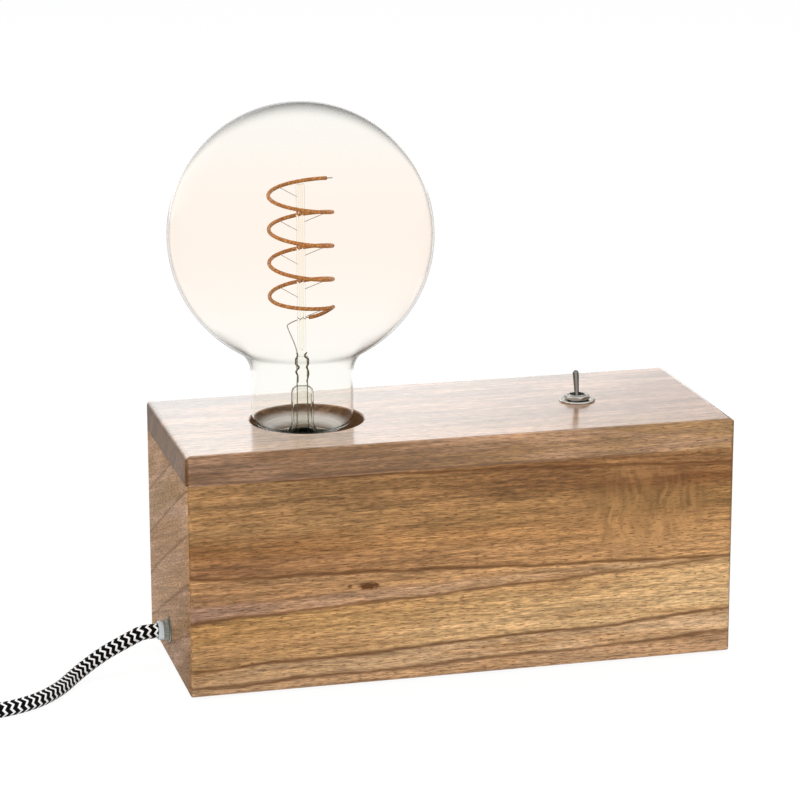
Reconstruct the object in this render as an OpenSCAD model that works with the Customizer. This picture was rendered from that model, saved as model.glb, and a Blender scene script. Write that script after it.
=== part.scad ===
// Table lamp: a clear globe bulb standing in a hollow wooden block, with a toggle switch on the
// block's top and a braided cord that leaves its left end. Millimetres, +Z up, front towards -Y.
// The origin is on the table, under the middle of the block.

/* [Wooden block] */
// Length of the block, left to right
block_l = 264; // [250:1:300]
// Depth of the block, front to back
block_d = 105; // [98:1:130]
// Height of the block without its pads
block_h = 116; // [110:1:140]
// Thickness of the boards
board_t = 12; // [10:0.5:14]
// Thickness of the top board
top_t = 14; // [12:0.5:16]
// Rounding of the block's outer edges
edge_round = 2.5; // [1:0.5:4]
// Side of the square glue blocks in the corners
glue_block = 16; // [14:1:20]
// Thickness of the panel that closes the underside
panel_t = 5; // [4:0.5:7]
// Gap all round the bottom panel
panel_gap = 0.3; // [0.2:0.1:0.6]
// Diameter of the anti-slip pads
pad_d = 12; // [8:1:16]
// Thickness of the anti-slip pads, on which the block stands
pad_t = 1; // [0.6:0.1:2]

/* [Lamp well] */
// Diameter of the round hole in the top board
well_d = 54; // [53.5:0.5:58]
// Distance of the hole's centre from the left end
well_inset = 68; // [66:1:80]
// Bevel round the hole's upper edge
well_bevel = 0.6; // [0.3:0.1:1]
// How far the holder stands off the hole's centre, to the left
holder_shift = 2; // [0:0.5:2.5]

/* [Bulb] */
// Diameter of the globe
globe_d = 125; // [115:1:127]
// Height of the globe's centre above the wood
globe_rise = 89; // [86:1:94]
// Diameter of the neck
neck_d = 48.4; // [46:0.2:49]
// Hollow radius where the globe runs into the neck
shoulder_r = 14; // [10:1:18]
// Rounding at the foot of the neck
heel_r = 5; // [4:0.5:6]
// Slope of the glass between the neck and the cap, above level
heel_slope = 32; // [28:1:38]
// Thickness of the glass
glass_t = 0.9; // [0.6:0.1:1.2]
// Diameter of the screw cap
cap_d = 26.2; // [26:0.1:26.4]
// Length of the screw cap with its contact
cap_len = 27; // [26:0.5:28]
// Depth of the cap's upper edge below the wood
cap_drop = 7.5; // [7:0.5:9]
// Thickness of the cap's sheet
cap_t = 0.5; // [0.3:0.1:0.6]

/* [Stem and filament] */
// Diameter of the glass stem
stem_d = 10.6; // [9.4:0.2:12]
// Height of the stem's shoulder above the wood
stem_rise = 16; // [14:1:17]
// Width, thickness and height of the flat press above the stem
press_w = 6.6; // [6:0.2:8]
press_t = 4.2; // [4:0.1:5]
press_h = 15; // [12:1:15]
// Diameter of the hollow glass rod that carries the filament
rod_d = 4; // [3.4:0.2:4]
// Height of the rod's tip above the wood
rod_rise = 113; // [110:1:114]
// Diameter of the spiral to the middle of its strand
spiral_d = 29.8; // [26:0.2:34]
// Drop of the spiral in one turn
spiral_pitch = 16; // [15.6:0.1:16.4]
// Number of turns
spiral_turns = 4.11; // [4.05:0.01:4.15]
// Height of the spiral's upper end above the wood
spiral_rise = 114; // [113:0.1:115]
// Direction of the spiral's upper end, counter-clockwise from the right
spiral_start = 24; // [20:1:32]
// How much higher the last half turn lies than an even spiral
last_turn_lift = 2.7; // [2:0.1:3.2]
// How far the spiral's lower end bends down to its lead
last_end_drop = 5; // [3:0.5:6]
// Diameter of the filament's strand
strand_d = 1.85; // [1.4:0.05:2.2]
// Diameter of the thin wires
wire_d = 0.5; // [0.4:0.1:0.8]

/* [Lamp holder] */
// Diameter of the holder's shell
holder_d = 40; // [38:0.5:42]
// Depth of the holder's rim below the wood
rim_drop = 9; // [8.5:0.5:11]
// Thickness of the threaded sleeve's sheet
sleeve_t = 0.7; // [0.5:0.1:0.8]
// Thickness of the ceramic contact block
contact_block_t = 6; // [5:0.5:8]
// Height of the holder's base
base_h = 19; // [17:1:21]
// Diameter of the hollow nipple
nipple_d = 10; // [9:0.5:11]
// Bore of the hollow nipple
nipple_bore = 7; // [6.2:0.2:7.4]
// Width across the flats of the nipple's nuts
nipple_nut_w = 14; // [13:0.5:16]
// Thickness of the nipple's nuts
nipple_nut_t = 3; // [2.5:0.5:4]

/* [Holder bracket] */
// Thickness of the bracket's sheet
bracket_t = 2; // [1.5:0.5:2.5]
// Width of the bracket's strip
bracket_w = 20; // [18:1:24]
// Room between the holder and the bracket's legs
bracket_room = 11; // [10:1:13]
// Length of the bracket's flanges
flange_l = 14; // [12:1:16]
// Diameter of the bracket screws
bracket_screw_d = 3; // [2.5:0.5:3.5]
// Length of the bracket screws
bracket_screw_l = 10; // [9:1:11]

/* [Toggle switch] */
// Distance of the switch from the right end
switch_inset = 62; // [52:1:80]
// Wood left above the switch's pocket
switch_web = 4.5; // [4:0.5:6]
// Diameter of the dress washer
washer_d = 17.4; // [15:0.2:19]
// Thickness of the dress washer
washer_t = 0.8; // [0.6:0.1:1.2]
// Width across the flats of the switch's nut
switch_nut_w = 11; // [10.5:0.5:12]
// Thickness of the switch's nut
switch_nut_t = 2; // [1.8:0.1:2.6]
// Diameter of the threaded bushing
bushing_d = 8.4; // [8:0.1:8.8]
// Stand of the bushing above its nut
bushing_stand = 0.4; // [0.2:0.1:1]
// Mouth of the bushing
bushing_mouth = 6.4; // [6:0.1:6.8]
// Length of the lever above its pivot
lever_reach = 14.4; // [13:0.2:18]
// Diameter of the lever's tip
lever_tip_d = 2.9; // [2.4:0.1:3.2]
// Diameter of the lever's foot
lever_foot_d = 2.1; // [1.8:0.1:2.3]
// Lean of the lever away from upright at either stop
lever_lean = 12; // [10:1:13]
// Width, length and height of the switch's body
switch_body_w = 8.2; // [8:0.2:10]
switch_body_l = 13.2; // [12:0.2:15]
switch_body_h = 9.8; // [9:0.2:11]

/* [Cord and gland] */
// Diameter of the braided cord
cord_d = 7; // [7:0.1:7]
// Height of the gland above the block's lower edge
gland_rise = 16.5; // [15:0.5:20]
// Diameter of the gland's barrel
gland_d = 9.6; // [9:0.1:10]
// Stand of the gland's barrel outside its flange
gland_stand = 4.8; // [4:0.2:7]
// Diameter of the gland's flange
gland_flange_d = 12.4; // [11.4:0.2:15]
// How much the gland's barrel widens from its middle towards the flange
gland_taper = 0.4; // [0.2:0.1:0.6]
// Thickness of the gland's flange
gland_flange_t = 1.2; // [0.8:0.1:2]
// Length of the gland's thread inside the block
gland_tail = 8; // [6:1:10]
// Thickness of the gland's lock nut
locknut_t = 3; // [2.5:0.5:4]
// Length of the cord clamp along the cord
clamp_l = 10; // [8:1:14]
// Length of sheathed cord inside the block
sheath_inside = 84; // [80:1:88]
// Diameter of the insulated leads
lead_d = 2.4; // [2:0.1:2.6]

/* [Cord put away] */
// Number of turns in the coil
coil_turns = 6.25; // [6.25:1:7.25]
// Layers of the coil
coil_layers = 4; // [2, 4]
// Width of the coil at the middle of its turns
coil_mid_d = 79.4; // [74:0.2:84]
// Step from one turn to the next
turn_step = 7.5; // [7.5:0.1:8]

/* [Plug] */
// Width of the plug
plug_w = 35.3; // [34:0.1:36]
// Thickness of the plug
plug_t = 13.7; // [13.7:0.1:13.7]
// Length of the plug's body
plug_l = 30; // [28:1:34]
// Length of the plug's cord guard
guard_l = 20; // [16:1:24]
// Diameter of the pins
pin_d = 4; // [3.8:0.1:4.2]
// Length of the pins
pin_l = 19; // [18:0.5:20]
// Distance between the pins
pin_gap = 18.6; // [18:0.1:19]

/* [Hidden] */
$fn = 96;

// Heights
block_bottom = pad_t;
block_top = block_bottom + block_h;
ceiling = block_top - top_t;
panel_top = block_bottom + panel_t;

// The block and its boards
inner_l = block_l - 2 * board_t;
inner_d = block_d - 2 * board_t;
glue_x = inner_l / 2 - glue_block / 2;
glue_y = inner_d / 2 - glue_block / 2;
bottom_screw_r = 1.6;
bottom_screw_l = 18;
bottom_head_r = 3.4;
bottom_head_h = 2;
screw_clear = 0.05;
pad_x = inner_l / 2 - glue_block - 10;

// Bulb and holder, from the wood's upper face down
well_x = -block_l / 2 + well_inset;
bulb_x = well_x - holder_shift;
globe_z = block_top + globe_rise;
globe_r = globe_d / 2;
neck_r = neck_d / 2;
cap_r = cap_d / 2;
cap_top = block_top - cap_drop;
cap_bottom = cap_top - cap_len;
fit_gap = 0.3;
tail_r = cap_r - cap_t - fit_gap;
tail_l = 6;
contact_r = 4.6;
contact_t = 1.5;
insulator_h = 4;
cap_shell_bottom = cap_bottom + contact_t + insulator_h;
insulator_top_r = 9;
insulator_low_r = 5.6;

// Glass outline: centre of the hollow shoulder and end of the neck's foot
shoulder_x = neck_r + shoulder_r;
shoulder_z = -sqrt(pow(globe_r + shoulder_r, 2) - pow(shoulder_x, 2));
heel_x = neck_r - heel_r;
heel_foot_x = heel_x + heel_r * sin(heel_slope);
heel_z = cap_top - globe_z + (heel_foot_x - tail_r) * tan(heel_slope)
    + heel_r * cos(heel_slope);
heel_steps = 10;

// Stem, press and rod
stem_r = stem_d / 2;
stem_top = block_top + stem_rise;
press_top = stem_top + press_h;
stem_wall = 1;
flare_r = tail_r - glass_t - fit_gap;
flare_z = cap_top - tail_l + 1;
board_z = cap_shell_bottom + 7;
board_thickness = 1.2;

// Filament and its thin wires
spiral_r = spiral_d / 2;
strand_r = strand_d / 2;
wire_r = wire_d / 2;
spiral_steps = round(spiral_turns * 24);
lift_turns = 0.5;
bend_turns = 0.22;
support_angles = [123, 321];
support_drops = [3, 5.5];
lead_bend = [-6.6, 1.6, 45.7];
lead_out = press_w * 0.36;

// Holder stack
rim_top = block_top - rim_drop;
thread_play = 0.1;
sleeve_in_r = cap_r + thread_play;
sleeve_out_r = sleeve_in_r + sleeve_t;
shell_in_r = sleeve_out_r + 0.7;
holder_r = holder_d / 2;
contact_play = 0.3;
contact_spring_h = 2.2;
contact_block_top = cap_bottom - contact_play - contact_spring_h;
base_top = contact_block_top - contact_block_t;
base_bottom = base_top - base_h;
base_floor = base_bottom + 5;
base_cavity_r = shell_in_r - 1.9;
contact_block_r = shell_in_r - fit_gap;
terminal_r = 2.4;
terminal_h = 4;
terminal_y = 8;
nipple_r = nipple_d / 2;
nipple_top = base_floor + 2;
bar_top = base_bottom - nipple_nut_t;
bar_bottom = bar_top - bracket_t;
nipple_bottom = bar_bottom - nipple_nut_t - 3;
thread_clear = 0.05;

// Holder bracket
leg_in = holder_r + bracket_room;
leg_out = leg_in + bracket_t;
flange_hole_x = leg_out + flange_l / 2;
flange_hole_y = bracket_w / 4;
bracket_head_r = 2.8;
bracket_head_h = 1.8;

// Toggle switch
switch_x = block_l / 2 - switch_inset;
bushing_r = bushing_d / 2;
bushing_top = block_top + washer_t + switch_nut_t + bushing_stand;
lock_washer_t = 0.6;
switch_top = block_top - switch_web - lock_washer_t;
switch_bottom = switch_top - switch_body_h;
pivot_z = bushing_top - 3;
ball_r = 2.1;
bushing_bore_r = ball_r + 0.4;
lever_stub_bite = 1.2;
lever_stub_l = pivot_z - switch_top + lever_stub_bite;
lever_pin_r = 0.6;
pocket_margin = 3.5;
lug_w = 2;
lug_t = 0.8;
lug_l = 4;
lug_y = 4.7;

// Gland and the cord inside
gland_z = block_bottom + gland_rise;
wall_x = -block_l / 2;
inner_wall_x = wall_x + board_t;
cord_r = cord_d / 2;
gland_bore_r = cord_r + 0.1;
gland_shank_r = gland_d / 2;
gland_face_x = wall_x - gland_flange_t - gland_stand;
gland_end_x = inner_wall_x + gland_tail;
locknut_w = 13;
sheath_end_x = inner_wall_x + sheath_inside - board_t;
clamp_x = inner_wall_x + 34;
clamp_w = 24;
clamp_top = gland_z + cord_r + 2;
clamp_screw_y = 8.5;
clamp_screw_r = 1.2;
clamp_head_r = 2.3;
clamp_head_h = 1.5;
clamp_screw_bite = 3.5;

// Terminal block on the bottom panel
terminal_block_l = 18;
terminal_block_w = 30;
terminal_block_h = 14;
terminal_block_x = sheath_end_x + 16;
way_gap = 10;
way_r = 1.6;
way_z = panel_top + 6;
block_screw_r = 1.5;

// Leads: each route is given by points from one anchor to the other
lead_r = lead_d / 2;
lead_sides = 6;
block_out_x = terminal_block_x + terminal_block_l;
nipple_pair_y = lead_r + 0.35;
terminal_foot = base_top - terminal_h;
holder_end = [
    [bulb_x, nipple_pair_y, nipple_bottom - 4],
    [bulb_x, nipple_pair_y, nipple_bottom + 6],
    [bulb_x, nipple_pair_y, nipple_top + 1],
    [bulb_x, (nipple_pair_y + terminal_y) / 2, (nipple_top + terminal_foot) / 2],
    [bulb_x, terminal_y, terminal_foot - 1.5],
    [bulb_x, terminal_y, terminal_foot]
];
core_route = [
    [sheath_end_x, lead_r + 0.2, gland_z],
    [sheath_end_x + 4, lead_r + 0.6, gland_z - 0.5],
    [sheath_end_x + 8, way_gap * 0.6, (gland_z + way_z) / 2],
    [sheath_end_x + 12, way_gap * 0.95, way_z + 0.4],
    [terminal_block_x, way_gap, way_z]
];
live_route = [
    [block_out_x, way_gap, way_z],
    [block_out_x + 6, way_gap, way_z],
    [block_out_x + 16, way_gap + 2, way_z + 4],
    [(block_out_x + switch_x) / 2, way_gap + 4, way_z + 18],
    [switch_x - 16, way_gap, (way_z + switch_bottom) / 2],
    [switch_x - 4, 4, switch_bottom - 18],
    [switch_x, 0.6, switch_bottom - lug_l - 5],
    [switch_x, 0, switch_bottom - lug_l]
];
switched_route = concat([
    [switch_x, lug_y, switch_bottom - lug_l],
    [switch_x, lug_y + 0.4, switch_bottom - lug_l - 5],
    [switch_x - 3, 12, switch_bottom - 20],
    [switch_x - 18, 22, (way_z + switch_bottom) / 2],
    [(block_out_x + switch_x) / 2, 26, way_z + 26],
    [block_out_x, 25, way_z + 19],
    [(block_out_x + bulb_x) / 2, 18, way_z + 15],
    [bulb_x + 9, 8, nipple_bottom - 14],
    [bulb_x + 2, nipple_pair_y + 1.6, nipple_bottom - 9]
], holder_end);
neutral_route = concat([
    [block_out_x, way_gap, way_z],
    [block_out_x + 6, way_gap, way_z],
    [block_out_x + 11, way_gap + 3, way_z + 4],
    [block_out_x + 8, way_gap + 7, way_z + 11],
    [block_out_x - 6, way_gap + 9, way_z + 15],
    [(block_out_x + bulb_x) / 2, way_gap + 5, way_z + 15],
    [bulb_x + 9, 8, nipple_bottom - 14],
    [bulb_x + 2, nipple_pair_y + 1.6, nipple_bottom - 9]
], holder_end);

// Cord outside: hand-chosen points of its centre line, in millimetres
coil_centre = [-273, -7];
lead_route = [
    [-145.5, -0.5, 17.1],
    [-151, -1, 15],
    [-157, -2.5, 12.8],
    [-163, -4.5, 10.7],
    [-169, -7.5, 8.4],
    [-175, -11.5, 6.1],
    [-181.5, -18, 4.2],
    [-187, -26, 3.5],
    [-193, -34, 3.5],
    [-201, -42, 3.5],
    [-212, -48.5, 3.5],
    [-224, -52, 3.5],
    [-237, -52.8, 3.5],
    [-250, -52.6, 3.5]
];
tail_route = [
    [-318.5, 9, 25.8],
    [-318.5, 18, 24.6],
    [-318.5, 27.5, 22.2],
    [-316.2, 39.2, 18.1],
    [-309.6, 49.1, 13.6],
    [-299.7, 55.7, 9.6],
    [-288, 58, 7.1],
    [-282, 58, 6.85]
];
cord_sides = 12;

// Coil
coil_sides = 6;
coil_rings = 24;
coil_mid_r = coil_mid_d / 2;
layer_angle = coil_turns * 360 / coil_layers;
coil_half_step = turn_step * layer_angle / 720;
coil_steps = floor(coil_turns * coil_rings);

// Plug, lying flat behind the coil
plug_x = tail_route[len(tail_route) - 1][0];
plug_y = tail_route[len(tail_route) - 1][1];
plug_turn = -90;
plug_way = [-sin(plug_turn), cos(plug_turn), 0];
guard_thin_r = 4.4;
guard_thick_r = 5.4;
plug_back_w = 22;
plug_corner = 4;

// Colours
wood = "burlywood";
dark_wood = "tan";
nickel = "silver";
steel = "lightgray";
black = "#222222";
brass = "goldenrod";
ceramic = "white";
clear = [1, 0.95, 0.88, 0.35];
amber = "peru";

// ---------- Shared shapes ----------

function unit(v) = v / norm(v);
function smooth_step(x) = x <= 0 ? 0 : x >= 1 ? 1 : x * x * (3 - 2 * x);
function path_way(p, i) = unit(p[min(i + 1, len(p) - 1)] - p[max(i - 1, 0)]);
function path_length(p, i = 0) = i >= len(p) - 1 ? 0 : norm(p[i + 1] - p[i]) + path_length(p, i + 1);

// One ring of a tube: its points lie square to the way the tube runs
function tube_ring(centre, way, r, sides, up) =
    let (side = unit(cross(way, up)), rise = cross(side, way))
    [for (k = [0:sides - 1])
        let (a = 360 * (k + 0.5) / sides)
        centre + r * (cos(a) * side + sin(a) * rise)];

// A closed tube with triangular faces through the points; first_way and last_way set its ends
module swept_tube(points, r, sides, up = [0, 0, 1], first_way = undef, last_way = undef) {
    count = len(points);
    rings = [for (i = [0:count - 1])
        let (way = i == 0 && !is_undef(first_way) ? first_way
            : i == count - 1 && !is_undef(last_way) ? last_way
            : path_way(points, i))
        each tube_ring(points[i], way, r, sides, up)];
    walls = [for (i = [0:count - 2], k = [0:sides - 1])
        let (a = i * sides + k, b = i * sides + (k + 1) % sides)
        each [[a, b, b + sides], [a, b + sides, a + sides]]];
    last = (count - 1) * sides;
    caps = [for (k = [1:sides - 2]) each [[0, k + 1, k], [last, last + k, last + k + 1]]];
    polyhedron(points = rings, faces = concat(walls, caps));
}

// A straight round wire between two points
module wire(from, to, r) {
    run = to - from;
    translate(from)
        rotate([0, acos(run[2] / norm(run)), atan2(run[1], run[0])])
            cylinder(r = r, h = norm(run), $fn = 16);
}

module rounded_rectangle(w, h, r) {
    square([w - 2 * r, h], center = true);
    square([w, h - 2 * r], center = true);
    for (x = [-1, 1], y = [-1, 1])
        translate([x * (w / 2 - r), y * (h / 2 - r)]) circle(r);
}

// The whole block with all its outer edges rounded
module block_form() {
    translate([0, 0, block_bottom + block_h / 2]) intersection() {
        linear_extrude(block_h, center = true) rounded_rectangle(block_l, block_d, edge_round);
        rotate([90, 0, 0]) linear_extrude(block_d, center = true)
            rounded_rectangle(block_l, block_h, edge_round);
        rotate([90, 0, 90]) linear_extrude(block_l, center = true)
            rounded_rectangle(block_d, block_h, edge_round);
    }
}

// One wall of the block, cut to a mitre at both ends; the wall's own length lies along X
module mitred_wall(length, depth, turn) {
    intersection() {
        block_form();
        rotate([0, 0, turn]) translate([0, 0, block_bottom - 1])
            linear_extrude(ceiling - block_bottom + 1) polygon([
                [-length / 2 - 1, -depth / 2 - 1],
                [length / 2 + 1, -depth / 2 - 1],
                [length / 2 - board_t, -depth / 2 + board_t],
                [-length / 2 + board_t, -depth / 2 + board_t]
            ]);
    }
}

module hexagon_nut(width, thickness, bore_r) {
    difference() {
        intersection() {
            cylinder(d = width / cos(30), h = thickness, $fn = 6);
            cylinder(r1 = width, r2 = width / 2 + 0.2, h = thickness);
        }
        translate([0, 0, -1]) cylinder(r = bore_r, h = thickness + 2);
    }
}

module ring(outer_r, inner_r, height) {
    difference() {
        cylinder(r = outer_r, h = height);
        translate([0, 0, -1]) cylinder(r = inner_r, h = height + 2);
    }
}

// Round-headed screw, pointing up, with its head below the origin
module pan_screw(r, length, head_r, head_h) {
    translate([0, 0, -head_h * 0.6]) cylinder(r = head_r, h = head_h * 0.6);
    translate([0, 0, -head_h]) cylinder(r1 = head_r * 0.6, r2 = head_r, h = head_h * 0.4);
    cylinder(r = r, h = length - r);
    translate([0, 0, length - r]) cylinder(r1 = r, r2 = 0.2, h = r);
}

module at_corners(x, y) {
    for (sx = [-1, 1], sy = [-1, 1]) translate([sx * x, sy * y, 0]) children();
}

module at_bracket_holes() {
    translate([bulb_x, 0, 0]) at_corners(flange_hole_x, flange_hole_y) children();
}

// ---------- Wooden block ----------

module top_board() {
    color(wood) difference() {
        intersection() {
            block_form();
            translate([0, 0, ceiling + top_t])
                cube([block_l + 2, block_d + 2, 2 * top_t], center = true);
        }
        translate([well_x, 0, ceiling - 1]) cylinder(d = well_d, h = top_t + 2);
        translate([well_x, 0, block_top - well_bevel])
            cylinder(d1 = well_d, d2 = well_d + 4 * well_bevel, h = 2 * well_bevel);
        translate([switch_x, 0, ceiling - 1])
            cylinder(r = bushing_r + 2 * screw_clear, h = top_t + 2);
        translate([switch_x, 0, ceiling + (top_t - switch_web) / 2 - 1])
            cube([
                switch_body_w + 2 * pocket_margin,
                switch_body_l + 2 * pocket_margin,
                top_t - switch_web + 2
            ], center = true);
        at_bracket_holes() translate([0, 0, ceiling - 1])
            cylinder(r = bracket_screw_d / 2 + screw_clear, h = bracket_screw_l - bracket_t + 1.5);
    }
}

module front_board() {
    color(wood) mitred_wall(block_l, block_d, 0);
}

module back_board() {
    color(wood) mitred_wall(block_l, block_d, 180);
}

module left_end_board() {
    color(wood) difference() {
        mitred_wall(block_d, block_l, -90);
        translate([wall_x - 1, 0, gland_z]) rotate([0, 90, 0])
            cylinder(r = gland_shank_r + screw_clear, h = board_t + 2);
    }
}

module right_end_board() {
    color(wood) mitred_wall(block_d, block_l, 90);
}

module glue_blocks() {
    color(dark_wood) at_corners(glue_x, glue_y) difference() {
        translate([-glue_block / 2, -glue_block / 2, panel_top])
            cube([glue_block, glue_block, ceiling - panel_top]);
        translate([0, 0, panel_top - 1])
            cylinder(r = bottom_screw_r + screw_clear, h = bottom_screw_l - panel_t + 2);
    }
}

module bottom_panel() {
    color(dark_wood) difference() {
        translate([0, 0, block_bottom + panel_t / 2])
            cube([inner_l - 2 * panel_gap, inner_d - 2 * panel_gap, panel_t], center = true);
        at_corners(glue_x, glue_y) translate([0, 0, block_bottom]) {
            translate([0, 0, -1]) cylinder(r = bottom_screw_r + screw_clear, h = panel_t + 2);
            translate([0, 0, -screw_clear]) cylinder(
                r1 = bottom_head_r + 2 * screw_clear,
                r2 = bottom_screw_r + screw_clear,
                h = bottom_head_h + screw_clear);
        }
        for (y = [-1, 1])
            translate([clamp_x, y * clamp_screw_y, panel_top - clamp_screw_bite - 0.3])
                cylinder(r = clamp_screw_r + screw_clear, h = clamp_screw_bite + 1);
    }
}

module bottom_screws() {
    color(steel) at_corners(glue_x, glue_y) translate([0, 0, block_bottom]) difference() {
        union() {
            cylinder(r1 = bottom_head_r, r2 = bottom_screw_r, h = bottom_head_h);
            translate([0, 0, bottom_head_h])
                cylinder(r = bottom_screw_r, h = bottom_screw_l - bottom_head_h - 2);
            translate([0, 0, bottom_screw_l - 2]) cylinder(r1 = bottom_screw_r, r2 = 0.2, h = 2);
        }
        for (turn = [0, 90]) rotate([0, 0, turn]) translate([-2, -0.4, -1]) cube([4, 0.8, 2.2]);
    }
}

module rubber_pads() {
    color(black) at_corners(pad_x, glue_y) cylinder(d = pad_d, h = pad_t);
}

// ---------- Lamp holder ----------

module holder_shell() {
    color(black) translate([bulb_x, 0, 0]) rotate_extrude() polygon([
        [shell_in_r, base_top],
        [holder_r, base_top],
        [holder_r, rim_top - 8],
        [holder_r - 1.5, rim_top - 6.5],
        [holder_r - 1.5, rim_top - 1],
        [holder_r - 2.5, rim_top],
        [shell_in_r + 1, rim_top],
        [shell_in_r, rim_top - 1]
    ]);
}

module holder_base() {
    color(black) translate([bulb_x, 0, 0]) rotate_extrude() polygon([
        [nipple_r + thread_clear, base_bottom],
        [nipple_nut_w / 2 + 2, base_bottom],
        [holder_r - 4, base_bottom + 4],
        [holder_r - 0.8, base_bottom + 9],
        [holder_r, base_bottom + 12],
        [holder_r, base_top],
        [base_cavity_r, base_top],
        [base_cavity_r, base_floor],
        [nipple_r + thread_clear, base_floor]
    ]);
}

module threaded_sleeve() {
    color(brass) translate([bulb_x, 0, contact_block_top])
        ring(sleeve_out_r, sleeve_in_r, rim_top - 2 - contact_block_top);
}

module contact_block() {
    color(ceramic) translate([bulb_x, 0, base_top]) difference() {
        cylinder(r = contact_block_r, h = contact_block_t);
        for (y = [-1, 1]) translate([0, y * terminal_y, -1])
            cylinder(r = 1.2, h = contact_block_t / 2 + 1);
    }
}

module centre_contact() {
    color(brass) translate([bulb_x, 0, contact_block_top]) {
        translate([-6, -2.5, 0]) cube([12, 5, 0.5]);
        translate([0, 0, 0.5]) cylinder(r1 = 2.4, r2 = 1.6, h = contact_spring_h - 0.5);
    }
}

module holder_terminals() {
    color(brass) for (y = [-1, 1]) translate([bulb_x, y * terminal_y, terminal_foot]) difference() {
        cylinder(r = terminal_r, h = terminal_h);
        translate([0, 0, terminal_h / 2]) rotate([0, 90, 0]) cylinder(r = 0.8, h = terminal_r + 1);
    }
}

module hollow_nipple() {
    color(steel) translate([bulb_x, 0, nipple_bottom])
        ring(nipple_r, nipple_bore / 2, nipple_top - nipple_bottom);
}

module nipple_nuts() {
    color(steel) for (z = [bar_bottom - nipple_nut_t, bar_top]) translate([bulb_x, 0, z])
        hexagon_nut(nipple_nut_w, nipple_nut_t, nipple_r + thread_clear);
}

module holder_bracket() {
    color(steel) difference() {
        translate([bulb_x, bracket_w / 2, 0]) rotate([90, 0, 0]) linear_extrude(bracket_w) {
            translate([-leg_out, bar_bottom]) square([2 * leg_out, bracket_t]);
            for (x = [-leg_out, leg_in])
                translate([x, bar_bottom]) square([bracket_t, ceiling - bar_bottom]);
            for (x = [-leg_out - flange_l, leg_in])
                translate([x, ceiling - bracket_t]) square([flange_l + bracket_t, bracket_t]);
        }
        translate([bulb_x, 0, bar_bottom - 1])
            cylinder(r = nipple_r + 2 * thread_clear, h = bracket_t + 2);
        at_bracket_holes() translate([0, 0, ceiling - bracket_t - 1])
            cylinder(r = bracket_screw_d / 2 + 2 * screw_clear, h = bracket_t + 2);
    }
}

module bracket_screws() {
    color(steel) at_bracket_holes() translate([0, 0, ceiling - bracket_t])
        pan_screw(bracket_screw_d / 2, bracket_screw_l, bracket_head_r, bracket_head_h);
}

// ---------- Bulb ----------

function arc_points(centre, r, from, to, steps) = [
    for (i = [0:steps])
        let (a = from + (to - from) * i / steps)
        centre + r * [cos(a), sin(a)]
];

// Solid form of the glass about the globe's centre, drawn in by inset for the inner wall
module glass_form(inset) {
    heel = heel_r - inset;
    foot = [heel_x, heel_z] + heel * [sin(heel_slope), -cos(heel_slope)];
    cone_end = foot[1] - (foot[0] - tail_r + inset) * tan(heel_slope);
    tail_end = cap_top - globe_z - tail_l - (inset > 0 ? 1 : 0);
    shoulder_top = shoulder_z * (globe_r - inset) / (globe_r + shoulder_r);
    sphere(globe_r - inset);
    rotate_extrude() difference() {
        translate([0, shoulder_z]) square([shoulder_x, shoulder_top - shoulder_z]);
        translate([shoulder_x, shoulder_z]) circle(shoulder_r + inset);
    }
    rotate_extrude() polygon(concat(
        [[0, tail_end], [0, shoulder_z], [neck_r - inset, shoulder_z]],
        arc_points([heel_x, heel_z], heel, 0, heel_slope - 90, heel_steps),
        [[tail_r - inset, cone_end], [tail_r - inset, tail_end]]
    ));
}

module bulb_glass() {
    color(clear) translate([bulb_x, 0, globe_z]) difference() {
        glass_form(0);
        glass_form(glass_t);
    }
}

module bulb_cap() {
    color(nickel) translate([bulb_x, 0, 0]) rotate_extrude() polygon([
        [cap_r - cap_t, cap_top],
        [cap_r, cap_top],
        [cap_r, cap_shell_bottom + 2],
        [insulator_top_r, cap_shell_bottom],
        [contact_r, cap_shell_bottom],
        [contact_r, cap_shell_bottom + cap_t],
        [insulator_top_r - cap_t / 2, cap_shell_bottom + cap_t],
        [cap_r - cap_t, cap_shell_bottom + 2 + cap_t / 2]
    ]);
}

module cap_insulator() {
    color(black) translate([bulb_x, 0, cap_bottom + contact_t])
        cylinder(r1 = insulator_low_r, r2 = insulator_top_r - 0.5, h = insulator_h);
}

module cap_contact() {
    color(steel) translate([bulb_x, 0, cap_bottom])
        cylinder(r1 = contact_r - 1, r2 = contact_r, h = contact_t);
}

module driver_board() {
    color("darkgreen") translate([bulb_x, 0, board_z]) {
        cylinder(r = cap_r - cap_t - fit_gap, h = board_thickness);
        translate([-4, 5, board_thickness]) cylinder(r = 3, h = 4);
        translate([1, -8, board_thickness]) cube([5, 4, 1.8]);
        translate([0, 0, -4]) cylinder(r = 2.5, h = 4);
    }
}

// Flared glass tube with its flat press on top
module glass_stem() {
    color(clear) translate([bulb_x, 0, 0]) {
        rotate_extrude() polygon([
            [flare_r, flare_z],
            [flare_r, flare_z + 1.2],
            [flare_r - 3, flare_z + 3.4],
            [stem_r + 1, flare_z + 7.5],
            [stem_r, flare_z + 11],
            [stem_r, stem_top - 1.5],
            [stem_r - 1.5, stem_top],
            [0, stem_top],
            [0, stem_top - stem_wall],
            [stem_r - 1.5, stem_top - stem_wall],
            [stem_r - stem_wall, stem_top - 2],
            [stem_r - stem_wall, flare_z + 10.5],
            [stem_r, flare_z + 7],
            [flare_r - 4, flare_z + 2.6],
            [flare_r - 1.5, flare_z]
        ]);
        translate([-press_w / 2, press_t / 2, stem_top]) rotate([90, 0, 0])
            linear_extrude(press_t) polygon([
                [0.4, -0.5],
                [press_w - 0.4, -0.5],
                [press_w - 1, press_h / 2],
                [press_w, press_h - 1.5],
                [press_w - 1, press_h],
                [1, press_h],
                [0, press_h - 1.5],
                [1, press_h / 2]
            ]);
    }
}

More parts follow.
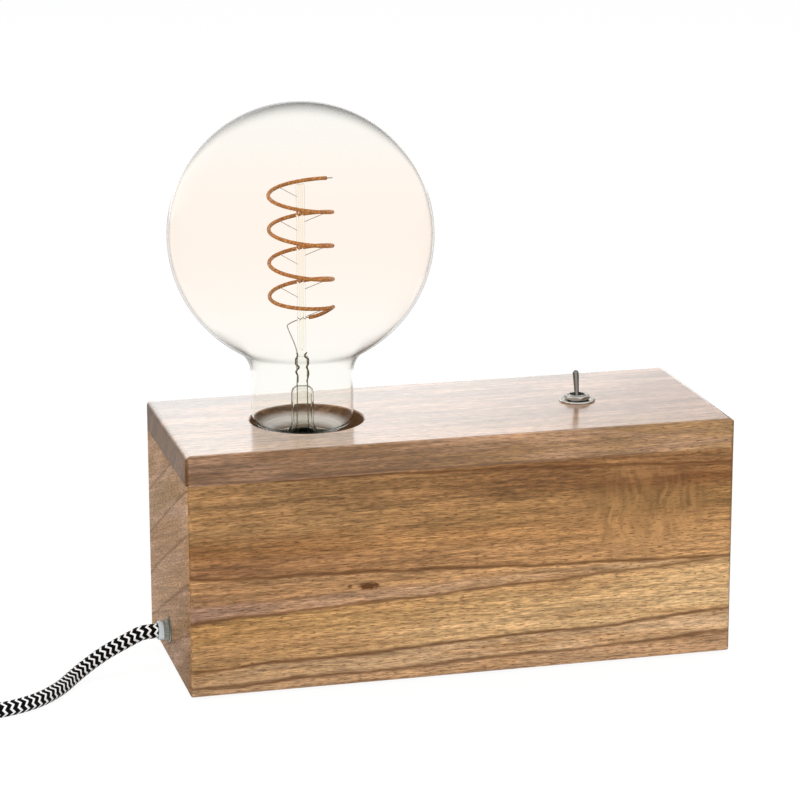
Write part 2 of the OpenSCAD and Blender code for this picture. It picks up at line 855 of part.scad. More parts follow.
module glass_rod() {
    color(clear) translate([bulb_x, 0, press_top]) difference() {
        cylinder(d = rod_d, h = rod_rise + block_top - press_top);
        translate([0, 0, 3]) cylinder(d = rod_d / 2, h = rod_rise);
    }
}

// The strand's centre at a number of turns from its upper end
function spiral_point(turns) = [
    bulb_x + spiral_r * cos(spiral_start + 360 * turns),
    spiral_r * sin(spiral_start + 360 * turns),
    block_top + spiral_rise - spiral_pitch * turns
        + last_turn_lift * smooth_step((turns - spiral_turns + bend_turns + lift_turns) / lift_turns)
        - last_end_drop * smooth_step((turns - spiral_turns + bend_turns) / bend_turns)
];
spiral_turned = [for (i = [0:spiral_steps]) spiral_point(spiral_turns * i / spiral_steps)];
spiral_in_way = unit(spiral_turned[1] - spiral_turned[0]);
spiral_out_way = unit(spiral_turned[spiral_steps] - spiral_turned[spiral_steps - 1]);
spiral_points = concat(
    [spiral_turned[0] - strand_d * spiral_in_way],
    spiral_turned,
    [spiral_turned[spiral_steps] + strand_d * spiral_out_way]
);
spiral_gap = min([for (i = [0:spiral_steps - 1], j = [i + coil_rings / 2:1:spiral_steps])
    norm(spiral_turned[i] - spiral_turned[j])]) - strand_d;
echo(least_gap_of_filament_to_itself = spiral_gap);

module filament_spiral() {
    color(amber) swept_tube(
        spiral_points, strand_r, coil_sides, [0, 0, 1], spiral_in_way, spiral_out_way);
}

// Thin wires that rise outwards from the rod to the strand, two for each turn
module support_wires() {
    color(steel) for (turn = [0:floor(spiral_turns) - 1], k = [0, 1]) {
        end = spiral_point(turn + (support_angles[k] - spiral_start) / 360);
        way = unit([end[0] - bulb_x, end[1], 0]);
        root = [bulb_x, 0, end[2] - support_drops[k]] + way * (rod_d / 2 + 0.05);
        wire(root, end - way * (strand_r + 0.15), wire_r * 0.6);
    }
}

// Pin at the filament's upper end, its lower lead, and the two leads down through the stem
module filament_leads() {
    first = spiral_points[0];
    last = spiral_points[len(spiral_points) - 1];
    bend = [bulb_x, 0, block_top] + lead_bend;
    color(steel) {
        swept_tube([first - 4 * spiral_in_way, first - 0.02 * spiral_in_way], wire_r, 6);
        swept_tube([
            last + 0.02 * spiral_out_way,
            last + 2 * spiral_out_way,
            [bulb_x - 1, 9, bend[2]],
            bend + [0.6, 0.8, 0],
            bend + [0, 0, -0.6],
            [bulb_x - lead_out, 0.6, press_top + 2],
            [bulb_x - lead_out, 0.6, press_top]
        ], wire_r, 6, [0, -0.4, 1], spiral_out_way, [0, 0, -1]);
        for (x = [-1, 1]) swept_tube([
            [bulb_x + x * lead_out, 0, stem_top - stem_wall],
            [bulb_x + x * (lead_out + 0.8), 0, (stem_top + board_z) / 2],
            [bulb_x + x * (lead_out + 0.8), 0, board_z + board_thickness]
        ], wire_r, 6, [0, 1, 0], [0, 0, -1], [0, 0, -1]);
    }
}

// ---------- Toggle switch ----------

module toggle_lever() {
    tip_r = lever_tip_d / 2;
    color(nickel) translate([switch_x, 0, pivot_z]) rotate([-lever_lean, 0, 0]) difference() {
        rotate_extrude($fn = 48) intersection() {
            translate([0, -lever_reach]) square([lever_reach, 3 * lever_reach]);
            union() {
                circle(ball_r);
                translate([0, lever_reach - tip_r]) circle(tip_r);
                polygon([
                    [0, -lever_stub_l],
                    [0.9, -lever_stub_l],
                    [1, -1.2],
                    [lever_foot_d / 2, 1.2],
                    [tip_r, lever_reach - tip_r],
                    [0, lever_reach - tip_r]
                ]);
            }
        }
        rotate([0, 90, 0]) cylinder(r = lever_pin_r + 0.06, h = 3 * ball_r, center = true);
    }
}

module lever_pin() {
    color(steel) translate([switch_x, 0, pivot_z]) rotate([0, 90, 0])
        cylinder(r = lever_pin_r, h = bushing_d, center = true);
}

module switch_bushing() {
    color(nickel) translate([switch_x, 0, 0]) difference() {
        rotate_extrude() polygon([
            [bushing_bore_r, switch_top],
            [bushing_r, switch_top],
            [bushing_r, bushing_top - 0.3],
            [bushing_r - 0.3, bushing_top],
            [bushing_mouth / 2, bushing_top],
            [bushing_bore_r, pivot_z]
        ]);
        translate([0, 0, pivot_z]) rotate([0, 90, 0])
            cylinder(r = lever_pin_r + 0.01, h = bushing_d + 2, center = true);
    }
}

module dress_washer() {
    washer_r = washer_d / 2;
    color(nickel) translate([switch_x, 0, block_top]) rotate_extrude() polygon([
        [bushing_r + 2 * screw_clear, 0],
        [washer_r, 0],
        [washer_r, washer_t * 0.4],
        [washer_r - 0.6, washer_t],
        [bushing_r + 2 * screw_clear, washer_t]
    ]);
}

module switch_nut() {
    color(nickel) translate([switch_x, 0, block_top + washer_t])
        hexagon_nut(switch_nut_w, switch_nut_t, bushing_r + thread_clear);
}

module lock_washer() {
    color(steel) translate([switch_x, 0, switch_top])
        ring(bushing_r + 2, bushing_r + 2 * screw_clear, lock_washer_t);
}

module switch_body() {
    color("navy") translate([switch_x, 0, switch_top - switch_body_h / 2]) difference() {
        cube([switch_body_w, switch_body_l, switch_body_h], center = true);
        translate([0, 0, switch_body_h / 2 - 3]) cylinder(r = bushing_bore_r, h = 4);
    }
}

module switch_lugs() {
    color(brass) for (y = [0, lug_y])
        translate([switch_x - lug_w / 2, y - lug_t / 2, switch_bottom - lug_l])
            cube([lug_w, lug_t, lug_l]);
}

// ---------- Cord entry and wiring ----------

module cord_gland() {
    color(nickel) translate([wall_x, 0, gland_z]) rotate([0, 90, 0]) difference() {
        union() {
            translate([0, 0, -gland_flange_t - gland_stand])
                cylinder(
                    r1 = gland_shank_r - gland_taper,
                    r2 = gland_shank_r + gland_taper,
                    h = gland_stand);
            translate([0, 0, -gland_flange_t])
                cylinder(d = gland_flange_d, h = gland_flange_t);
            cylinder(r = gland_shank_r, h = gland_end_x - wall_x);
        }
        translate([0, 0, -50]) cylinder(r = gland_bore_r, h = 100);
    }
}

module gland_locknut() {
    color(steel) translate([inner_wall_x, 0, gland_z]) rotate([0, 90, 0])
        hexagon_nut(locknut_w, locknut_t, gland_shank_r + thread_clear);
}

module cord_clamp() {
    color(ceramic) difference() {
        union() {
            translate([clamp_x - clamp_l / 2, -clamp_w / 2, panel_top])
                cube([clamp_l, clamp_w, gland_z - panel_top]);
            translate([clamp_x - clamp_l / 2, 0, gland_z]) rotate([0, 90, 0])
                cylinder(r = clamp_top - gland_z, h = clamp_l);
        }
        translate([clamp_x - clamp_l, 0, gland_z]) rotate([0, 90, 0])
            cylinder(r = gland_bore_r, h = 2 * clamp_l);
        for (y = [-1, 1]) translate([clamp_x, y * clamp_screw_y, panel_top - 1])
            cylinder(r = clamp_screw_r + screw_clear, h = gland_z);
    }
}

module clamp_screws() {
    color(steel) for (y = [-1, 1]) translate([clamp_x, y * clamp_screw_y, gland_z])
        rotate([180, 0, 0]) pan_screw(
            clamp_screw_r, gland_z - panel_top + clamp_screw_bite, clamp_head_r, clamp_head_h);
}

module inner_cord() {
    color(black) translate([wall_x, 0, gland_z]) rotate([0, 90, 0])
        cylinder(r = cord_r, h = sheath_end_x - wall_x);
}

module cord_cores() {
    color("saddlebrown") for (side = [-1, 1]) scale([1, side, 1])
        swept_tube(core_route, lead_r, lead_sides, first_way = [1, 0, 0], last_way = [1, 0, 0]);
}

module terminal_block() {
    color(ceramic) difference() {
        translate([terminal_block_x, -terminal_block_w / 2, panel_top])
            cube([terminal_block_l, terminal_block_w, terminal_block_h]);
        for (y = [-way_gap, 0, way_gap]) {
            translate([terminal_block_x + terminal_block_l / 4, y, panel_top + terminal_block_h / 2])
                cylinder(r = block_screw_r, h = terminal_block_h);
            translate([block_out_x - terminal_block_l / 4, y, panel_top + terminal_block_h / 2])
                cylinder(r = block_screw_r, h = terminal_block_h);
        }
        for (y = [-way_gap / 2, way_gap / 2])
            translate([terminal_block_x - 1, y - 0.6, panel_top + terminal_block_h - 4])
                cube([terminal_block_l + 2, 1.2, 5]);
    }
}

module live_lead() {
    color("saddlebrown")
        swept_tube(live_route, lead_r, lead_sides, [0, 1, 0], [1, 0, 0], [0, 0, 1]);
}

module switched_lead() {
    color("saddlebrown")
        swept_tube(switched_route, lead_r, lead_sides, [0, 1, 0], [0, 0, -1], [0, 0, 1]);
}

module neutral_lead() {
    color("royalblue") mirror([0, 1, 0])
        swept_tube(neutral_route, lead_r, lead_sides, [0, 1, 0], [1, 0, 0], [0, 0, 1]);
}

// ---------- Cord outside, and plug ----------

// Centre of the coiled cord at an angle along it: it spirals in and out, a layer at a time
function coil_radius(a) =
    let (along = a / layer_angle, part = along % 2)
    coil_mid_r + coil_half_step * (1 - 2 * (part < 1 ? part : 2 - part));
function coil_height(a) = cord_r + turn_step * (
    coil_layers < 2 ? 0 : smooth_step((a - layer_angle + 90) / 180)
        + (coil_layers < 4 ? 0 : smooth_step((a - 2 * layer_angle + 90) / 180)
            + smooth_step((a - 3 * layer_angle + 90) / 180)));
function coil_point(a) = [
    coil_centre[0] + coil_radius(a) * cos(-90 - a),
    coil_centre[1] + coil_radius(a) * sin(-90 - a),
    coil_height(a)
];
coil_turned = [for (i = [0:coil_steps]) coil_point(360 * coil_turns * i / coil_steps)];
coil_in_way = [-1, 0, 0];
coil_out_way = [0, 1, 0];
coil_points = concat(
    [coil_turned[0] - cord_d * coil_in_way],
    coil_turned,
    [coil_turned[coil_steps] + cord_d * coil_out_way]
);
coil_gap = min([for (i = [0:coil_steps - 1], j = [i + coil_rings / 2:1:coil_steps])
    norm(coil_turned[i] - coil_turned[j])]) - cord_d;
echo(coil_start = coil_points[0], coil_end = coil_points[coil_steps + 2]);
echo(least_gap_of_coil_to_itself = coil_gap);
lead_points = concat(
    [[wall_x, 0, gland_z], [gland_face_x, 0, gland_z]],
    lead_route,
    [coil_points[0]]
);
tail_points = concat([coil_points[coil_steps + 2]], tail_route);
echo(cord_length = path_length(lead_points) + path_length(coil_points) + path_length(tail_points));

module cord_lead() {
    color(black) swept_tube(lead_points, cord_r, cord_sides, [0, 0, 1], [-1, 0, 0], coil_in_way);
}

module cord_coil() {
    color(black) swept_tube(coil_points, cord_r, coil_sides, [0, 0, 1], coil_in_way, coil_out_way);
}

module cord_tail() {
    color(black) swept_tube(tail_points, cord_r, cord_sides, [0, 0, 1], coil_out_way, plug_way);
}

module at_plug() {
    translate([plug_x, plug_y, plug_t / 2]) rotate([0, 0, plug_turn]) children();
}

// Body of the flat plug, its guard towards the cord and its pins pointing away
module plug_body() {
    back = guard_l;
    front = guard_l + plug_l;
    color(black) at_plug() {
        rotate([-90, 0, 0]) cylinder(r1 = guard_thin_r, r2 = guard_thick_r, h = guard_l + 2);
        intersection() {
            linear_extrude(plug_t, center = true) polygon([
                [-plug_back_w / 2 + plug_corner, back],
                [plug_back_w / 2 - plug_corner, back],
                [plug_back_w / 2, back + plug_corner],
                [plug_w / 2, front - plug_l * 0.45],
                [plug_w / 2, front - 1],
                [plug_w / 2 - 1, front],
                [-plug_w / 2 + 1, front],
                [-plug_w / 2, front - 1],
                [-plug_w / 2, front - plug_l * 0.45],
                [-plug_back_w / 2, back + plug_corner]
            ]);
            translate([0, (back + front) / 2, 0]) rotate([90, 0, 90])
                linear_extrude(plug_w, center = true)
                    rounded_rectangle(plug_l, plug_t, plug_corner / 2);
        }
    }
}

module plug_pins() {
    color(nickel) at_plug() for (x = [-1, 1])
        translate([x * pin_gap / 2, guard_l + plug_l, 0]) rotate([-90, 0, 0]) {
            cylinder(d = pin_d, h = pin_l - pin_d / 4);
            translate([0, 0, pin_l - pin_d / 4])
                cylinder(d1 = pin_d, d2 = pin_d / 2, h = pin_d / 4);
        }
}

// ---------- Nodes ----------

top_board();
front_board();
back_board();
left_end_board();
right_end_board();
glue_blocks();
bottom_panel();
bottom_screws();
rubber_pads();
holder_shell();
holder_base();
threaded_sleeve();
contact_block();
centre_contact();
holder_terminals();
hollow_nipple();
nipple_nuts();
holder_bracket();
bracket_screws();
bulb_glass();
bulb_cap();
cap_insulator();
cap_contact();
driver_board();
glass_stem();
glass_rod();
filament_spiral();
support_wires();
filament_leads();
toggle_lever();
lever_pin();
switch_bushing();
dress_washer();
switch_nut();
lock_washer();
switch_body();
switch_lugs();
cord_gland();
gland_locknut();
cord_clamp();
clamp_screws();
inner_cord();
cord_cores();
terminal_block();
live_lead();
switched_lead();
neutral_lead();
cord_lead();
cord_coil();
cord_tail();
plug_body();
plug_pins();
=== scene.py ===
"""Table lamp: a clear globe bulb standing in a hollow wooden block.

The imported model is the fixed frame. Every sub-assembly's class holds its sizes, in
millimetres in the model's own frame, and builds and dresses its pieces.
"""

from __future__ import annotations

import logging
import math
from dataclasses import dataclass, replace
from enum import Enum
from functools import cache, partial
from typing import Any, Callable, Iterable, Mapping, Sequence

import bmesh
import bpy
from mathutils import Matrix, Vector

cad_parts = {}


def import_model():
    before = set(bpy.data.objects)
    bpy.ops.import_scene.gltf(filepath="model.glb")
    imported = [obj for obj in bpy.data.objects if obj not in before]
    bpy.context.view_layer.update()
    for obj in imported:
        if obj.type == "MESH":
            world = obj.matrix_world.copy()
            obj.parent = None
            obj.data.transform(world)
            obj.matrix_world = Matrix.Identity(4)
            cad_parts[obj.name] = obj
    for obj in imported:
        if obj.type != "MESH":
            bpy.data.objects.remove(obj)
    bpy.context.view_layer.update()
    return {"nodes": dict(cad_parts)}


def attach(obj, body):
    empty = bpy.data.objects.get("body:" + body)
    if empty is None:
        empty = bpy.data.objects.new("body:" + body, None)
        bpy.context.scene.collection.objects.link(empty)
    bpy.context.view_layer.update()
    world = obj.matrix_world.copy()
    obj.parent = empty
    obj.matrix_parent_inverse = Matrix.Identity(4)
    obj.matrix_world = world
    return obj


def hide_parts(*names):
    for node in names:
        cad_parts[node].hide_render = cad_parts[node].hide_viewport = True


LOG = logging.getLogger("lamp")
MM = 0.001
ON_AXIS = 1e-6  # a radius below this stands on the axis
CREASE = 35.0  # degrees above which an edge stays sharp
SWEPT_CREASE = 40.0

Pair = tuple[float, float]
Point = tuple[float, float, float]
Outline = list[Pair]
Piece = bpy.types.Object
Node = bpy.types.Node
Adder = Callable[..., Node]


class Body(Enum):
    """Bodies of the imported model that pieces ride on."""

    BASE = "base"
    BULB = "bulb"
    LEVER = "lever"


# ---------- Nodes ----------


def linear(colour: str) -> tuple[float, float, float, float]:
    """Turn an sRGB hex value into linear light.

    Args:
        colour: Six hex digits.

    Returns:
        Red, green, blue and an alpha of 1.
    """
    parts = [int(colour[i : i + 2], 16) / 255 for i in (0, 2, 4)]
    r, g, b = (c / 12.92 if c <= 0.04045 else ((c + 0.055) / 1.055) ** 2.4 for c in parts)
    return r, g, b, 1.0


def add_node(
    tree: bpy.types.NodeTree,
    kind: str,
    inputs: Mapping[int | str, Any] | None = None,
    **settings: Any,
) -> Node:
    """Add a node, set it up and link it.

    Args:
        tree: Tree that takes the node.
        kind: The node's type name.
        inputs: Socket to value, to a hex colour, to another node, whose first output in use
            is linked, or to an output socket.
        **settings: Properties of the node.

    Returns:
        The new node.
    """
    node = tree.nodes.new(kind)
    for key, value in settings.items():
        setattr(node, key, value)
    for key, value in (inputs or {}).items():
        if isinstance(value, Node):
            value = next(socket for socket in value.outputs if socket.enabled)
        if isinstance(value, bpy.types.NodeSocket):
            tree.links.new(value, node.inputs[key])
        else:
            node.inputs[key].default_value = linear(value) if isinstance(value, str) else value
    return node


def empty_tree(owner: bpy.types.Material | bpy.types.World) -> Adder:
    """Clear the nodes of a material or a world.

    Args:
        owner: The material or the world.

    Returns:
        The function that adds a node to it.
    """
    owner.use_nodes = True
    owner.node_tree.nodes.clear()
    return partial(add_node, owner.node_tree)


def shape_tree(name: str, **sockets: str) -> tuple[bpy.types.NodeTree, Adder, Any]:
    """Start a Geometry Nodes tree, which end_tree ends.

    Args:
        name: Name of the tree.
        **sockets: Its inputs besides the geometry, with the kind of each socket.

    Returns:
        The tree, the function that adds a node to it, and its inputs by name.
    """
    tree = bpy.data.node_groups.new(name, "GeometryNodeTree")
    for label, kind in {"Geometry": "Geometry", **sockets}.items():
        tree.interface.new_socket(label, in_out="INPUT", socket_type=f"NodeSocket{kind}")
    tree.interface.new_socket("Geometry", in_out="OUTPUT", socket_type="NodeSocketGeometry")
    node = partial(add_node, tree)
    return tree, node, node("NodeGroupInput").outputs


def end_tree(node: Adder, shape: Node, finish: bpy.types.NodeSocket) -> None:
    """End a Geometry Nodes tree: make its copies real and give them the finish.

    Args:
        node: Adds a node to the tree.
        shape: Node that gives the finished shape.
        finish: The tree's input for the material.
    """
    real = node("GeometryNodeRealizeInstances", {"Geometry": shape})
    dressed = node("GeometryNodeSetMaterial", {"Geometry": real, "Material": finish})
    node("NodeGroupOutput", {"Geometry": dressed})


def path_tube_tree() -> bpy.types.NodeTree:
    """Build the Geometry Nodes tree that sweeps a round section along lines of edges.

    Returns:
        The tree, with inputs Radius, Sides and Finish.
    """
    tree, node, given = shape_tree("path_tube", Radius="Float", Sides="Int", Finish="Material")
    line = node("GeometryNodeMeshToCurve", {"Mesh": given["Geometry"]})
    size = {"Resolution": given["Sides"], "Radius": given["Radius"]}
    section = node("GeometryNodeCurvePrimitiveCircle", size)
    sweep = {"Curve": line, "Profile Curve": section, "Fill Caps": True}
    end_tree(node, node("GeometryNodeCurveToMesh", sweep), given["Finish"])
    return tree


def set_on_points_tree() -> bpy.types.NodeTree:
    """Build the Geometry Nodes tree that sets one shape on each point of a mesh.

    Returns:
        The tree, with inputs Shape and Finish.
    """
    tree, node, given = shape_tree("set_on_points", Shape="Object", Finish="Material")
    shape = node("GeometryNodeObjectInfo", {"Object": given["Shape"]}).outputs["Geometry"]
    copies = {"Points": given["Geometry"], "Instance": shape}
    end_tree(node, node("GeometryNodeInstanceOnPoints", copies), given["Finish"])
    return tree


def run_tree(
    name: str,
    tree: bpy.types.NodeTree,
    lines: Iterable[Sequence[Sequence[float]]],
    inputs: Mapping[str, Any],
) -> Piece:
    """Run a Geometry Nodes tree on lines of points and keep the result as a plain piece.

    Args:
        name: Name of the piece.
        tree: The tree.
        lines: Lists of points, in millimetres; an edge joins each point to the next.
        inputs: The tree's named inputs and their values.

    Returns:
        The piece.
    """
    points: list[Point] = []
    edges: list[tuple[int, int]] = []
    for line in lines:
        first = len(points)
        points += [tuple(c * MM for c in p) for p in line]
        edges += [(i, i + 1) for i in range(first, len(points) - 1)]
    mesh = bpy.data.meshes.new("lines")
    mesh.from_pydata(points, edges, [])
    source = linked(bpy.data.objects.new("lines", mesh))
    modifier = source.modifiers.new(tree.name, "NODES")
    modifier.node_group = tree
    for item in tree.interface.items_tree:
        if item.in_out == "INPUT" and item.name in inputs:
            modifier[item.identifier] = inputs[item.name]
    mesh = evaluated_mesh(source)
    mesh.name = name
    source.modifiers.remove(modifier)
    bpy.data.objects.remove(source)
    outward(mesh)
    return object_of(name, mesh, SWEPT_CREASE)


# ---------- Shapes ----------


def linked(thing: Piece) -> Piece:
    """Link an object to the scene, and give it back."""
    bpy.context.scene.collection.objects.link(thing)
    return thing


def evaluated_mesh(source: Piece) -> bpy.types.Mesh:
    """Make a new mesh of what an object's modifiers give."""
    graph = bpy.context.evaluated_depsgraph_get()
    return bpy.data.meshes.new_from_object(source.evaluated_get(graph), depsgraph=graph)


def outward(mesh: bpy.types.Mesh) -> None:
    """Merge a mesh's double points, and turn its faces to point outwards.

    Args:
        mesh: The mesh, which is changed.
    """
    work = bmesh.new()
    work.from_mesh(mesh)
    bmesh.ops.remove_doubles(work, verts=work.verts, dist=1e-7)
    bmesh.ops.recalc_face_normals(work, faces=work.faces)
    work.to_mesh(mesh)
    work.free()


def object_of(name: str, mesh: bpy.types.Mesh, crease: float = CREASE) -> Piece:
    """Link a mesh to the scene as a smooth-shaded piece.

    Args:
        name: Name of the piece.
        mesh: Its mesh.
        crease: Angle above which an edge stays sharp, in degrees.

    Returns:
        The piece.
    """
    mesh.validate()
    mesh.shade_smooth()
    mesh.set_sharp_from_angle(angle=math.radians(crease))
    return linked(bpy.data.objects.new(name, mesh))


def mesh_piece(
    name: str,
    points: Iterable[Sequence[float]],
    faces: Iterable[Sequence[int]],
    crease: float = CREASE,
) -> Piece:
    """Make a piece at the origin from points in millimetres.

    Args:
        name: Name of the piece.
        points: Its vertices, in millimetres.
        faces: Its faces, as lists of vertex numbers.
        crease: Angle above which an edge stays sharp, in degrees.

    Returns:
        The piece, linked to the scene.
    """
    mesh = bpy.data.meshes.new(name)
    mesh.from_pydata([tuple(c * MM for c in p) for p in points], [], [tuple(f) for f in faces])
    return object_of(name, mesh, crease)


def ring(centre: Pair, radii: Sequence[float], height: float) -> list[Point]:
    """Points round an upright axis, at one height and at even angles.

    Args:
        centre: X and Y of the axis.
        radii: Radius of each point, in order.
        height: Height of them all.

    Returns:
        The points, from the X direction round by the Y direction.
    """
    angles = (math.tau * k / len(radii) for k in range(len(radii)))
    return [
        (centre[0] + r * math.cos(a), centre[1] + r * math.sin(a), height)
        for a, r in zip(angles, radii)
    ]


def revolved(
    name: str,
    outline: Outline,
    centre: Pair = (0, 0),
    segments: int = 128,
    crease: float = CREASE,
) -> Piece:
    """Turn an outline round an upright axis.

    Args:
        name: Name of the piece.
        outline: Radius and height of each point, in order round the section. It starts and
            ends on the axis, or else closes on itself.
        centre: X and Y of the axis.
        segments: Number of steps round.
        crease: Angle above which an edge stays sharp, in degrees.

    Returns:
        The turned piece.
    """
    points: list[Point] = []
    rows: list[list[int]] = []
    for radius, height in outline:
        first = len(points)
        if radius < ON_AXIS:
            rows.append([first] * segments)
            points.append((*centre, height))
        else:
            rows.append([first + k for k in range(segments)])
            points += ring(centre, [radius] * segments, height)
    pairs = list(zip(rows, rows[1:]))
    if min(outline[0][0], outline[-1][0]) > ON_AXIS:
        pairs.append((rows[-1], rows[0]))
    faces = []
    for low, high in pairs:
        for k in range(segments):
            after = (k + 1) % segments
            face = [low[k], low[after], high[after], high[k]]
            face = [v for i, v in enumerate(face) if v != face[i - 1]]
            if len(face) > 2:
                faces.append(face)
    piece = mesh_piece(name, points, faces, crease)
    outward(piece.data)
    return piece


def lofted(
    name: str, rings: Sequence[Sequence[Point]], crease: float = CREASE, loop: bool = False
) -> Piece:
    """Join closed rings of points, one after another, into a skin.

    Args:
        name: Name of the piece.
        rings: The rings, each with the same number of points.
        crease: Angle above which an edge stays sharp, in degrees.
        loop: True where the last ring joins the first; otherwise both ends are filled.

    Returns:
        The piece, with its faces pointing outwards.
    """
    sides, count = len(rings[0]), len(rings)
    faces: list[Sequence[int]] = []
    for i in range(count if loop else count - 1):
        low, high = i * sides, (i + 1) % count * sides
        for k in range(sides):
            after = (k + 1) % sides
            faces.append((low + k, low + after, high + after, high + k))
    if not loop:
        faces += [tuple(range(sides))[::-1], tuple(range((count - 1) * sides, count * sides))]
    piece = mesh_piece(name, [p for points in rings for p in points], faces, crease)
    outward(piece.data)
    return piece


def mapped_tube(name: str, path: Sequence[Vector], radius: float, sides: int) -> Piece:
    """Make a closed tube along a path, with a map round it and along it.

    Args:
        name: Name of the piece.
        path: Centre line, in millimetres.
        radius: Radius of the tube.
        sides: Number of its sides.

    Returns:
        The tube, whose map is named along_cord.
    """
    last = len(path) - 1
    ways = [(path[min(i + 1, last)] - path[max(i - 1, 0)]).normalized() for i in range(last + 1)]
    side = ways[0].cross(Vector((0, 0, 1))).normalized()
    points: list[Vector] = []
    for i, (centre, way) in enumerate(zip(path, ways)):
        if i:
            side = ways[i - 1].rotation_difference(way) @ side
        side = (side - way * side.dot(way)).normalized()
        rise = side.cross(way)
        for k in range(sides):
            angle = math.tau * k / sides
            points.append(centre + radius * (math.cos(angle) * side + math.sin(angle) * rise))
    faces: list[tuple[int, ...]] = []
    for first in range(0, last * sides, sides):
        for k in range(sides):
            a, b = first + k, first + (k + 1) % sides
            faces.append((a, b, b + sides, a + sides))
    faces += [tuple(range(sides))[::-1], tuple(range(last * sides, (last + 1) * sides))]
    piece = mesh_piece(name, points, faces)
    chart = piece.data.uv_layers.new(name="along_cord")
    along = [0.0]
    for a, b in zip(path, path[1:]):
        along.append(along[-1] + (b - a).length)
    for face in piece.data.polygons:
        for corner, loop in enumerate(face.loop_indices):
            row, k = divmod(piece.data.loops[loop].vertex_index, sides)
            turn = 1.0 if k == 0 and len(face.vertices) == 4 and corner in (1, 2) else k / sides
            chart.data[loop].uv = (turn, along[row] / along[-1])
    return piece


def placed(piece: Piece, foot: Point, way: Point) -> Piece:
    """Turn and move a piece's mesh.

    Args:
        piece: The piece, made upright at the origin.
        foot: Where its origin goes, in millimetres.
        way: Direction that its Z axis takes.

    Returns:
        The same piece.
    """
    turn = Vector((0, 0, 1)).rotation_difference(Vector(way)).to_matrix().to_4x4()
    piece.data.transform(Matrix.Translation(Vector(foot) * MM) @ turn)
    return piece


def cut(piece: Piece, tool: Piece) -> Piece:
    """Cut a tool's shape out of a piece, and remove the tool.

    Args:
        piece: The piece.
        tool: Shape to take away.

    Returns:
        The same piece.
    """
    modifier = piece.modifiers.new("cut", "BOOLEAN")
    modifier.operation, modifier.object = "DIFFERENCE", tool
    mesh = evaluated_mesh(piece)
    piece.modifiers.remove(modifier)
    piece.data = mesh
    mesh.set_sharp_from_angle(angle=math.radians(CREASE))
    bpy.data.objects.remove(tool)
    return piece


def arc(centre: Pair, radius: float, start: float, end: float, steps: int) -> Outline:
    """Points along an arc.

    Args:
        centre: Middle of the arc.
        radius: Its radius.
        start: Angle of its first point, in degrees.
        end: Angle of its last point, in degrees.
        steps: Number of steps between them.

    Returns:
        The points, both ends included.
    """
    angles = (math.radians(start + (end - start) * i / steps) for i in range(steps + 1))
    return [(centre[0] + radius * math.cos(a), centre[1] + radius * math.sin(a)) for a in angles]


def rounded_section(half: Pair, powers: Pair, sides: int) -> Outline:
    """Points round a section that stands between an ellipse and a rectangle.

    Args:
        half: Its half width and half height.
        powers: How square it is in each direction: 1 is an ellipse, and 0 a rectangle.
        sides: Number of points.

    Returns:
        The points, from the width's direction round by the height's.
    """
    points = []
    for k in range(sides):
        c, s = math.cos(math.tau * k / sides), math.sin(math.tau * k / sides)
        wide, high = (math.copysign(abs(t) ** power, t) for t, power in zip((c, s), powers))
        points.append((wide * half[0], high * half[1]))
    return points


def smooth_step(x: float) -> float:
    """Ease from 0 to 1 as x goes from 0 to 1."""
    x = min(max(x, 0.0), 1.0)
    return x * x * (3 - 2 * x)


def smooth_path(points: Sequence[Vector], step: float) -> list[Vector]:
    """Run a smooth curve through points, at about even steps.

    Args:
        points: Points that the curve passes through.
        step: Greatest distance from one point of the result to the next.

    Returns:
        Points along the curve.
    """
    ends = [2 * points[0] - points[1], *points, 2 * points[-1] - points[-2]]
    path = [points[0].copy()]
    for before, start, end, after in zip(ends, ends[1:], ends[2:], ends[3:]):
        span = (end - start).length
        count = max(1, math.ceil(span / step))
        out = (end - before).normalized() * span
        into = (after - start).normalized() * span
        for i in range(1, count + 1):
            t = i / count
            path.append(
                start * (2 * t**3 - 3 * t**2 + 1)
                + out * (t**3 - 2 * t**2 + t)
                + end * (3 * t**2 - 2 * t**3)
                + into * (t**3 - t**2)
            )
    return path


@dataclass(frozen=True)
class RolledThread:
    """The round thread rolled into the bulb's cap and the holder's sleeve."""

    pitch: float = 3.6286
    depth: float = 0.62

    def sink(self, angle: float, height: float) -> float:
        """Depth of the groove at an angle, in radians, and a height."""
        turn = height / self.pitch - angle / math.tau
        return self.depth * (0.5 - 0.5 * math.cos(math.tau * turn))

    def shell(
        self,
        name: str,
        radius: Callable[[float, float], float],
        reach: tuple[float, float, int],
        others: Outline,
        x: float,
    ) -> Piece:
        """Make a shell of which one wall winds in a helix and the rest is turned.

        Args:
            name: Name of the piece.
            radius: Radius of the threaded wall at an angle, in radians, and a height.
            reach: Heights at which the threaded wall starts and ends, and its steps.
            others: Radius and height of the section's other points, going on round it.
            x: X of the axis.

        Returns:
            The shell.
        """
        sides = 96
        start, end, steps = reach
        levels = [start + (end - start) * i / steps for i in range(steps + 1)]
        angles = [math.tau * k / sides for k in range(sides)]
        rings = [ring((x, 0), [radius(a, z) for a in angles], z) for z in levels]
        rings += [ring((x, 0), [r] * sides, z) for r, z in others]
        return lofted(name, rings, SWEPT_CREASE, loop=True)


# ---------- Kinds of finish ----------


